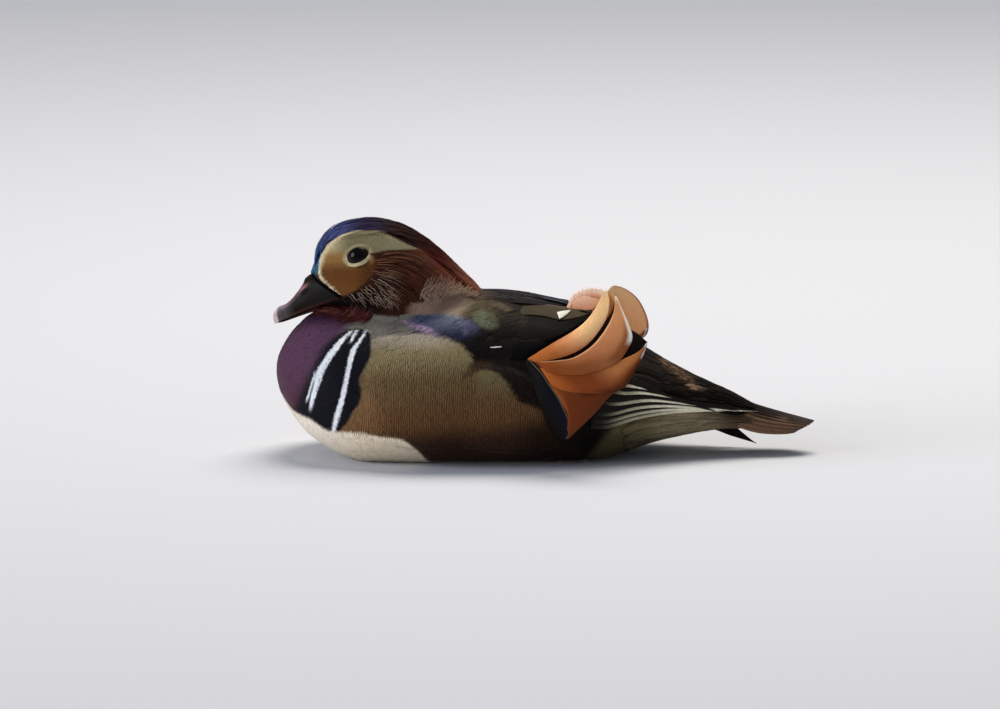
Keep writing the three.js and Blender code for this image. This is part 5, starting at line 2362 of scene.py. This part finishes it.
    # The far wing's sail leans further over, so one broad blade of it shows past the near one.
    # Its pale apricot colours are the feather's own, made much lighter as painted light shining
    # through it from behind.
    BLADE = Band(
        [(-1, 48), (12, 55), (22, 60), (30, 65.5), (36, 71.5), (39.4, 76.4)],
        [(2, 35), (18, 32), (35, 33), (48, 38.5), (57.5, 42.5), (60.2, 48), (59.0, 56.5),
         (54.5, 67), (49, 73.2), (44, 76.2), (40.2, 76.8)],
        2.0, "#ff9e6c", "#ffd0ae", rim_low="#5a3024", rim=0.03, bulge=1.5, stations=50, columns=21,
    )
    # The far sail stands closer to the back, and its lower bands hang lower.
    NEARER = 8.0
    HANG = (2.0, -12.0)

    def _reach(self, x: Array, z: Array) -> Array:
        """How far out a sail stands: tucked in at its root, leaning in at its top.

        Args:
            x: The points' lengths.
            z: Their heights.

        Returns:
            The distance of each point from the middle of the bird.
        """
        base = 60.5 - (self.NEARER if self.side is Side.RIGHT else 0)
        lean = 22 * (np.maximum(0, z - 50) / 46) ** 1.5
        return base - lean - 6.0 * ease(6, -9, x) * ease(30, 50, z)

    def _place(self, plan: Array, out: Array) -> Array:
        """Points of the side view set on the sail's own curved surface.

        Args:
            plan: The points of the side view.
            out: How far out each one lies.

        Returns:
            The points, in millimetres.
        """
        x, t = plan[..., 0], plan[..., 1]
        if self.side is Side.RIGHT:
            t = t + 2 * RISE_PER_WIDTH * self.NEARER
        z = t + 10.0
        for _ in range(8):
            y = self._reach(x, z) + out
            z = t + RISE_PER_WIDTH * y
        return np.stack([x, self.side.value * y, z], axis=-1)

    def build(self) -> None:
        """Build the bands, the web and the loose barbs."""
        near = self.side is Side.LEFT
        finish = SAIL_SILK if near else SAIL_LIT
        sail = Plumage(f"sail_feather_{self.side.word}", "sail_plumage", finish)
        bands = (*self.STRIPS, self.WEB, self.DARK, self.GAP, self.BACK)
        for number, band in enumerate(bands if near else (self.BLADE, *bands[2:5])):
            self._band(sail, band, number)
        if near:
            self._frill()
        piece = sail.build(thickness=0.35)
        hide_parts(f"sail_{self.side.word}")

    def _band(self, sail: Plumage, band: Band, number: int) -> None:
        """One band, ruled between its edges, with barbs that run its length.

        Args:
            sail: The feathers to add to.
            band: The band.
            number: Its number.
        """
        plan, along, across = band.grid()
        out = band.lift(along, across) - 0.9 * (1 - across) * along
        if self.side is Side.RIGHT and band is not self.BLADE:
            plan = plan + np.array(self.HANG)
        points = self._place(plan, out)
        colour = band.colour(along, across)
        if band is self.STRIPS[2]:
            # Its tip and the end of its lower edge are white.
            low = ease(0.3, 0.18, across) * ease(0.86, 0.9, along)
            colour = mix(colour, rgb("#dfe3e3"), np.maximum(low, ease(0.955, 0.98, along)))
        sail.add_band(points, colour, number, self.side is Side.LEFT, lengthwise=True)

    def _frill(self) -> None:
        """The pale web behind the first band, with loose barbs along its top."""
        sail = Plumage("sail_fringe_left", "sail_plumage", FRINGE)
        plan, along, across = self.FRILL.grid()
        points = self._place(plan, self.FRILL.lift(along, across))
        colour = self.FRILL.colour(across, along)
        sail.add_band(points, colour, 9, self.side is Side.LEFT)
        draw = np.random.default_rng(51)
        top = spline(np.array(self.FRILL.upper), 130)[22:]
        base = top - np.array([0.0, 5.0])
        stations = 6
        n = len(top)
        t = np.linspace(0, 1, stations)[None, :, None]
        reach = draw.uniform(0.8, 1.3, (n, 1, 1)) * np.array([0.5, 5.6])
        lean = np.stack([draw.normal(-0.4, 0.4, n), np.zeros(n)], axis=-1)[:, None]
        plan = base[:, None] + reach * t + lean * t**2
        points = self._place(plan, np.full(plan.shape[:2], 1.9))
        normals = np.broadcast_to(np.array([0.0, self.side.value, 0.2]), points.shape)
        half = 0.2 * Outline.HACKLE.half(stations) * np.ones((n, 1))

        def tint(p: Array, c: Array, t: Array) -> Array:
            """Apricot, paler towards the tips."""
            return wash("#d28f68", ("#f4d9c4", ease(0.1, 0.8, t)))

        sail.add(points, unit(normals), half, tint, 3, 0.1, 52)
        sail.build(thickness=0.3)


@dataclass
class Tail:
    """The tail feathers in a closed fan, and the coverts over and under their roots."""

    pairs: int = 7

    # A feather's shaft: its length, its spread to the side, its height and its drop at the side.
    FEATHER = (
        (72, 8, 34, 5), (92, 11, 33.3, 9.5), (106, 12.5, 30.8, 11.5), (119, 12.8, 26.0, 11),
        (135, 11.5, 21.4, 8), (150.5, 8, 17.4, 4),
    )
    # The rump's height along its middle.
    RIDGE = Curve(
        [(45, 66.5), (55, 60.4), (65.5, 53.6), (82, 44.6), (93, 39.4), (104, 34.5), (112, 30),
         (118.8, 26.4), (128, 23.6)]
    )

    def build(self) -> None:
        """Build the fan from the outside in, then the coverts."""
        tail = Plumage("tail_feathers", "tail_plumage", FLIGHT)
        stations = 20
        for i in sorted(range(-self.pairs, self.pairs + 1), key=lambda v: -abs(v)):
            turn = math.radians(74) * i / self.pairs
            out = abs(i) / self.pairs
            wide, drop = math.sin(turn), 1 - math.cos(turn)
            lay = 0.25 * (1 - out)
            line = np.array([[x, y * wide, z - d * drop + lay] for x, y, z, d in self.FEATHER])
            line[-1, 0] -= 8 * out**2
            line = spline(line, stations)
            normal = unit(np.array([[0, wide / 12, math.cos(turn) / 8]]))
            normals = np.repeat(normal, stations, axis=0)
            half = 5.2 * Outline.COVERT.half(stations)

            def tint(p: Array, c: Array, t: Array, out: float = out) -> Array:
                """Nearly black, browner at the sides of the fan.

                Args:
                    p: The feathers' points, in millimetres; not used.
                    c: Their places across the feather, from -1 to 1.
                    t: Their places along it, from 0 to 1.
                    out: How far out the feather lies in the fan, from 0 to 1.

                Returns:
                    A linear colour for each point.
                """
                colour = wash("#1d1815", ("#453b37", ease(0.5, 1.0, t)))
                brown = wash("#9a745a", ("#6c5344", t))
                colour = mix(colour, brown, ease(0.35, 0.62, out) * ease(0.25, 0.5, t))
                return mix(colour, rgb("#3a2a22"), ease(0.1, 0.02, np.abs(c)) * 0.3)

            tail.add(line[None], normals[None], half[None], tint, 9, 0.1, 60 + i)
        self._coverts(tail, 1)
        self._coverts(tail, -1)
        piece = tail.build(thickness=0.15)
        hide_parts("tail")

    def _coverts(self, tail: Plumage, way: int) -> None:
        """Rows of coverts over the tail's root, or under it.

        Args:
            tail: The feathers to add to.
            way: 1 over the tail, or -1 under it.
        """
        draw = np.random.default_rng(70 + way)
        stations = 8
        rows = []
        wide, count = (1.0, 13) if way > 0 else (1.6, 21)
        for x in np.arange(46, 97, 5.0):
            for turn in np.linspace(-wide, wide, count):
                a = way * math.pi / 2 + turn + 0.05 * draw.normal()
                rows.append((x + 1.8 * draw.normal(), a))
        x, a = np.array(rows).T
        lengths = 22 * draw.uniform(0.9, 1.1, len(x))
        run = np.linspace(0, 1, stations)[None]
        xs = x[:, None] + lengths[:, None] * run
        turned = np.repeat(a[:, None], stations, axis=1)
        held = np.minimum(xs, 111)
        rise = 1.2 if way > 0 else 0.35
        centres = TORSO.above(held, turned, (-0.2 + rise * run) * np.ones_like(xs))
        centres[..., 0] = xs
        if way > 0:
            raised = self.RIDGE(xs) - 1.0 - TORSO.top(held)
            centres[..., 2] += raised * np.clip(np.sin(turned), 0.4, 1)
        normals = TORSO.normal(held, turned)
        half = 4.2 * Outline.COVERT.half(stations) * draw.uniform(0.9, 1.1, (len(x), 1))
        shade = draw.normal(1, 0.05, (len(x), 1, 1, 1))

        def tint(p: Array, c: Array, t: Array) -> Array:
            """The rump's colour, dark over the tail and buff under it.

            Args:
                p: The feathers' points, in millimetres.
                c: Their places across the feather, from -1 to 1.
                t: Their places along it, from 0 to 1.

            Returns:
                A linear colour for each point.
            """
            colour, s = Markings.body(p), p[..., 0]
            if way > 0:
                colour = mix(colour, rgb("#1d1815"), ease(82, 92, s))
            else:
                under = wash("#7b7057", ("#94886c", t), ("#5a4a3a", ease(88, 108, s)))
                colour = mix(colour, under, ease(56, 76, s))
            return colour * shade * (1 - 0.08 * (c * c * t)[..., None])

        tail.add(centres, normals, half, tint, 5, 0.04, 72 + way, 0.5)


# ------------------------------------------------------------------ hard parts
@dataclass(frozen=True)
class HornFinish:
    """Horn of the bill: a thin hard sheath with a soft sheen and faint growth streaks."""

    name: str = "Bill horn"

    def build(self) -> bpy.types.Material:
        """The material, made on its first use."""
        return material_named(self.name, self._fill)

    @staticmethod
    def _fill(tree: Tree, shader: bpy.types.Node) -> None:
        """Set the nodes of hard horn with faint streaks along it.

        Args:
            tree: The material's node tree.
            shader: Its surface shader.
        """
        tint = add_node(tree, "Attribute", attribute_name="tint")
        place = add_node(tree, "TexCoord").outputs["Object"]
        # Growth streaks are about 2.4 mm apart.
        noise = add_node(tree, "TexNoise", {"Vector": place, "Scale": 0.42 / MM, "Detail": 4.0})
        shade = add_node(
            tree, "MapRange",
            {0: noise, "From Min": 0.3, "From Max": 0.7, "To Min": 0.82, "To Max": 1.18},
        )
        colour = add_node(
            tree, "VectorMath", {0: tint.outputs["Color"], 1: shade}, operation="MULTIPLY"
        )
        bump = add_node(tree, "Bump", {"Height": noise, "Strength": 0.12, "Distance": 0.3 * MM})
        wire(
            shader,
            {"Base Color": colour, "Normal": bump, "Roughness": 0.45, "Specular IOR Level": 0.07},
        )


@dataclass
class Bill:
    """The bill: upper half with nostrils and nail, and the lower half."""

    length: float = 30.8
    tilt: float = math.radians(23)
    gape: tuple[float, float] = (-118.0, 84.3)
    nail: float = 4.6
    nostril: tuple[float, float] = (-8.2, 10.6)

    def _upper(self) -> Form:
        """The upper half, drawn level.

        Returns:
            The form, with its length along X.
        """
        return Form(
            front=-self.length,
            rear=-1.0,
            top=Curve(
                [(-self.length, 1.2), (-30.3, 3.0), (-29.2, 5.0), (-27, 6.6), (-24.6, 7.2),
                 (-21.5, 7.1), (-18, 8.0), (-12.6, 10.8), (-8, 14.0), (-5.2, 16.2), (-1, 17.2)]
            ),
            bottom=Curve([(-self.length, -0.8), (-28, 0), (-1, 0)]),
            half=Curve(
                [(-self.length, 0.6), (-29.6, 3.4), (-26, 5.4), (-19, 6.4), (-13, 7.6), (-7, 10.0),
                 (-1, 12.8)]
            ),
            waist=0.12,
            over=2.1,
            under=3.0,
        )

    def _lower(self) -> Form:
        """The lower half, drawn level.

        Returns:
            The form, with its length along X.
        """
        start = -self.length + 1.6
        return Form(
            front=start,
            rear=6.0,
            top=Curve([(start, -0.3), (6, -0.3)]),
            bottom=Curve([(start, -0.8), (-26, -1.3), (-14, -2.0), (6, -4.4)]),
            half=Curve([(start, 0.6), (-27, 3.6), (-19, 5), (-5, 6.4), (6, 8)]),
            waist=0.8,
            over=4.0,
            under=2.2,
        )

    def _placed(self, points: Array) -> Array:
        """Tilt level points down and set them at the gape.

        Args:
            points: The level points.

        Returns:
            The points in their place.
        """
        x, y, z = points.T
        c, s = math.cos(self.tilt), math.sin(self.tilt)
        return np.stack([self.gape[0] + x * c - z * s, y, self.gape[1] + x * s + z * c], axis=-1)

    def build(self) -> None:
        """Build both halves."""
        points, faces = self._upper().shell(90, 64, 0.0)
        level = points.copy()
        # The base slants back to the corner of the mouth and widens to the cheeks.
        u = ease(-15, -1, points[:, 0]) ** 1.5
        down = np.clip(1 - points[:, 2] / 15.5, 0, 1)
        level[:, 0] += 10.5 * u * down
        level[:, 1] *= 1 + 0.42 * u * down
        level[:, 1] *= np.where(points[:, 0] > -1.3, 0.95, 1.0)
        # A nostril is a slot with a raised rim on each side of the ridge.
        for side in Side:
            u = (level[:, 0] - self.nostril[0]) / 2.4
            far = np.hypot(u, (level[:, 2] - self.nostril[1] - 0.9 * u) / 1.05)
            dent = 1.3 * np.exp(-(far**3)) - 0.35 * np.exp(-((far - 1.35) ** 2) * 9)
            level[:, 1] -= side.value * dent * (np.sign(level[:, 1]) == side.value)
        seam = np.exp(-(((level[:, 0] + self.length - self.nail) / 0.45) ** 2))
        level[:, 2] -= 0.22 * seam * (level[:, 2] > 0.6)
        upper = new_mesh_object("bill_top", self._placed(level), faces)
        self._dress(upper, self._horn(level), "bill_horn", "bill_upper", "bill_nail")
        points, faces = self._lower().shell(60, 48, 0.0)
        lower = new_mesh_object("bill_under", self._placed(points), faces)
        under = wash("#4d3834", ("#8a6f6c", ease(-24, -29, points[:, 0])))
        self._dress(lower, under, "bill_horn", "bill_lower")

    def _horn(self, level: Array) -> Array:
        """The upper half's colours: dark sides, a purple ridge, a paler front partly of painted sky
        reflection, a nostril slot painted black as shade, and the nail.

        Args:
            level: Its points before they are tilted.

        Returns:
            A linear colour for each point.
        """
        x, z = level[:, 0], level[:, 2]
        culmen = ease(0.72, 0.97, z / self._upper().top(x))
        beside = x - self.nostril[0]
        rest = z - self.nostril[1] - 0.37 * beside
        ridge = np.exp(-((beside / 3.2) ** 2) - ((rest - 1.7) / 0.8) ** 2)
        slot = np.exp(-(((beside / 2.2) ** 2 + (rest / 0.8) ** 2) ** 2))
        ahead = np.hypot((x + self.length) / self.nail, level[:, 1] / 6.0)
        return wash(
            "#2c1a17",
            ("#17120e", ease(0.6, 2.6, z)),
            ("#5e4a54", culmen * ease(-6, -10, x)),
            ("#171213", ease(-6, 0, x) * ease(14, 9, z)),
            ("#4a2b22", ease(2.2, 0.8, z) * ease(-26, -18, x)),
            # A paler, greyer front: partly the bill's own lighter tip, partly painted reflection of
            # the sky on the ridge.
            ("#80747a", ease(-16, -25, x) * (0.4 + 0.6 * culmen)),
            ("#a37678", 0.85 * ridge),
            # The nostril slot is painted near black: painted shade inside the opening.
            ("#0e0909", 0.9 * slot),
            ("#c6b0ae", ease(1.1, 0.92, ahead)),
        )

    @staticmethod
    def _dress(piece: bpy.types.Object, colour: Array, slot: str, *nodes: str) -> None:
        """Colour a half of the bill and let it stand for its solids.

        Args:
            piece: The half.
            colour: A linear colour for each of its points.
            slot: The material slot; not used.
            nodes: The solids that it replaces.
        """
        paint(piece, colour)
        shade_smooth(piece)
        piece.data.materials.append(HornFinish().build())
        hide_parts(*nodes)
        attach(piece, BODY)
        LOG.info("%s: %d faces", piece.name, len(piece.data.polygons))


@dataclass
class Eye:
    """One eye: a wet dark ball and a thin cream rim of lids round it."""

    # The eye's middle in the side view, its opening's half sizes and its slope to the front.
    SPOT = (-100.4, 109.7)
    OPENING = (6.1, 4.5)
    SLANT = 0.2

    side: Side
    at: tuple[float, float] = (-100.4, 112.3)
    radius: float = 7.4
    depth: float = 5.2

    def build(self) -> None:
        """Build the ball and its lids."""
        angle = HEAD.angle_at(self.at[0], self.at[1], self.side)
        x = np.array(self.at[0])
        outward = HEAD.normal(x, np.array(angle))
        middle = HEAD.above(x, np.array(angle), np.array(-self.depth))
        self._ball(middle, outward)
        self._lids(x, angle, outward)

    def _ball(self, middle: Array, outward: Array) -> None:
        """The ball, with a pupil and a dark brown iris.

        Args:
            middle: The ball's middle, in millimetres.
            outward: Where it looks.
        """
        bpy.ops.object.select_all(action="DESELECT")
        bpy.ops.mesh.primitive_uv_sphere_add(
            segments=48, ring_count=32, radius=self.radius * MM,
            location=tuple(middle * MM),
        )
        ball = bpy.context.active_object
        ball.name = f"eyeball_{self.side.word}"
        bpy.ops.object.transform_apply(location=True, rotation=True, scale=True)
        aim = unit(points_of(ball) - middle) @ outward
        paint(ball, wash("#1a120e", ("#070606", ease(0.845, 0.865, aim))))
        shade_smooth(ball)
        ball.data.materials.append(material_named("Wet eye", self._wet))
        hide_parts(f"eye_{self.side.word}")
        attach(ball, BODY)

    @staticmethod
    def _wet(tree: Tree, shader: bpy.types.Node) -> None:
        """The eye's wet surface: a clear layer over the dark ball.

        Args:
            tree: The material's node tree.
            shader: Its surface shader.
        """
        tint = add_node(tree, "Attribute", attribute_name="tint").outputs["Color"]
        wire(
            shader,
            {"Base Color": tint, "Roughness": 0.06, "IOR": 1.34, "Specular IOR Level": 0.22},
        )

    def _lids(self, x: Array, angle: float, outward: Array) -> None:
        """A soft raised rim round the opening, lower at the front and rear corners.

        Args:
            x: The eye's length.
            angle: Its angle on the head.
            outward: Where the eye looks.
        """
        centre = HEAD.above(x, np.array(angle), np.array(0.0))
        right = unit(np.cross(np.array([0, 0, 1.0]), outward)) * -self.side.value
        up = np.cross(right, outward) * self.side.value
        up = up * np.sign(up[2])
        turns = np.linspace(0, 2 * math.pi, 72, endpoint=False)
        rounds = np.linspace(0, 2 * math.pi, 12, endpoint=False)
        rings = []
        for turn in turns:
            c, s = math.cos(turn), math.sin(turn)
            # The front corner is drawn out and lies lower than the rear one.
            corner = 0.35 * ease(-0.75, -1.0, c)
            radial = unit(right * c + up * s)
            flat = right * (6.2 * c - corner) + up * (4.75 * s + 6.2 * self.SLANT * c)
            deep = math.sqrt(max(0.1, self.radius**2 - float(flat @ flat)))
            place = centre - outward * self.depth + flat * 1.03 + outward * (deep + 0.1)
            out = (0.35 + 1.05 * np.cos(rounds))[:, None]
            rise = 0.24 * np.sin(rounds)[:, None] - 0.5 * out
            rings.append(place + radial * out + outward * rise)
        points = np.array(rings).reshape(-1, 3)
        faces = ring_faces(len(turns), len(turns), len(rounds))
        lids = new_mesh_object(f"eyelids_{self.side.word}", points, faces)
        turn_outwards(lids)
        inner = np.tile(np.cos(rounds), len(turns))
        low = ease(0.3, -0.5, np.repeat(np.sin(turns), len(rounds)))
        paint(lids, wash("#857b5b", ("#bfb188", low), ("#1c1511", ease(-0.7, -0.95, inner))))
        shade_smooth(lids)
        lids.data.materials.append(HornFinish("Eyelid skin").build())
        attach(lids, BODY)


@dataclass
class Feet:
    """The webbed feet tucked under the belly, in a scaled orange-yellow skin."""

    def build(self) -> None:
        """Give both feet their skin."""
        material = material_named("Scaled foot skin", self._fill)
        for node in ("foot_left", "foot_right"):
            foot = bpy.data.objects[node]
            foot.data.materials.clear()
            foot.data.materials.append(material)

    @staticmethod
    def _fill(tree: Tree, shader: bpy.types.Node) -> None:
        """Set the nodes of dull scaly skin, whose highlights break up on the scales.

        Args:
            tree: The material's node tree.
            shader: Its surface shader.
        """
        place = add_node(tree, "TexCoord").outputs["Object"]
        # Scales of about 1.2 mm on the toes.
        scales = add_node(tree, "TexVoronoi", {"Vector": place, "Scale": 1 / (1.2 * MM)})
        far = scales.outputs["Distance"]
        tones = {0: far, 6: linear("#c8843c"), 7: linear("#8a5424")}
        colour = add_node(tree, "Mix", tones, data_type="RGBA").outputs[2]
        bump = add_node(tree, "Bump", {"Height": far, "Strength": 0.3, "Distance": 0.2 * MM})
        wire(shader, {"Base Color": colour, "Normal": bump, "Roughness": 0.5})


@dataclass
class Studio:
    """A pale floor, soft light from above and the camera at the photograph's angle."""

    target: tuple[float, float, float] = (-0.0225, 0.0, 0.0545)
    distance: float = 4.0
    lens: float = 262.0

    def build(self) -> None:
        """Set the floor, the lights and the camera."""
        bpy.context.scene.view_settings.view_transform = "Standard"
        self._floor()
        self._lights()
        self._camera()

    def _floor(self) -> None:
        """A plain pale floor."""
        bpy.ops.object.select_all(action="DESELECT")
        bpy.ops.mesh.primitive_plane_add(size=12, location=(0, 0, 0))
        floor = bpy.context.active_object
        floor.name = "floor"
        floor.data.materials.append(material_named("Pale matt paper", self._paper))

    @staticmethod
    def _paper(_: Tree, shader: bpy.types.Node) -> None:
        """Unbleached matt paper."""
        wire(shader, {"Base Color": linear("#cdd0d6"), "Roughness": 0.9})

    def _lights(self) -> None:
        """A broad key from above and behind, a soft fill from the front, a pale sky."""
        for name, place, size, watts, tone in (
            ("key", (0.3, 0.7, 2.1), 1.5, 54.0, "#fff6ea"),
            ("front", (-4.6, -1.6, 1.8), 2.8, 160.0, "#f2f4ff"),
        ):
            data = bpy.data.lights.new(name, "AREA")
            data.shape = "DISK"
            data.size = size
            data.energy = watts
            data.color = linear(tone)[:3]
            light = bpy.data.objects.new(name, data)
            light.location = place
            aim = Vector((0, 0, 0.06)) - Vector(place)
            light.rotation_euler = aim.to_track_quat("-Z", "Y").to_euler()
            bpy.context.scene.collection.objects.link(light)
        world = bpy.data.worlds.new("Pale sky")
        bpy.context.scene.world = world
        world.use_nodes = True
        wire(world.node_tree.nodes["Background"], {0: linear("#dfe6f2"), 1: 0.3})

    def _camera(self) -> None:
        """The camera, level with the duck's side and ten degrees above it."""
        data = bpy.data.cameras.new("camera")
        data.lens = self.lens
        data.sensor_width = 36.0
        camera = bpy.data.objects.new("camera", data)
        target = Vector(self.target)
        way = Vector((0, -math.cos(VIEW_TILT), math.sin(VIEW_TILT)))
        camera.location = target + self.distance * way
        aim = target - camera.location
        camera.rotation_euler = aim.to_track_quat("-Z", "Y").to_euler()
        bpy.context.scene.collection.objects.link(camera)
        bpy.context.scene.camera = camera


def main() -> None:
    """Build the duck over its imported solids."""
    logging.basicConfig(level=logging.INFO, format="%(message)s")
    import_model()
    Studio().build()
    skin = Skin()
    skin.finish()
    Coat(skin).build()
    Crest(skin).build()
    for side in Side:
        Ruff(skin, side).build()
        Wing(skin, side).build()
        Sail(side).build()
        Eye(side).build()
    Mantle().build()
    Tail().build()
    Bill().build()
    Feet().build()


if __name__ == "__main__":
    main()
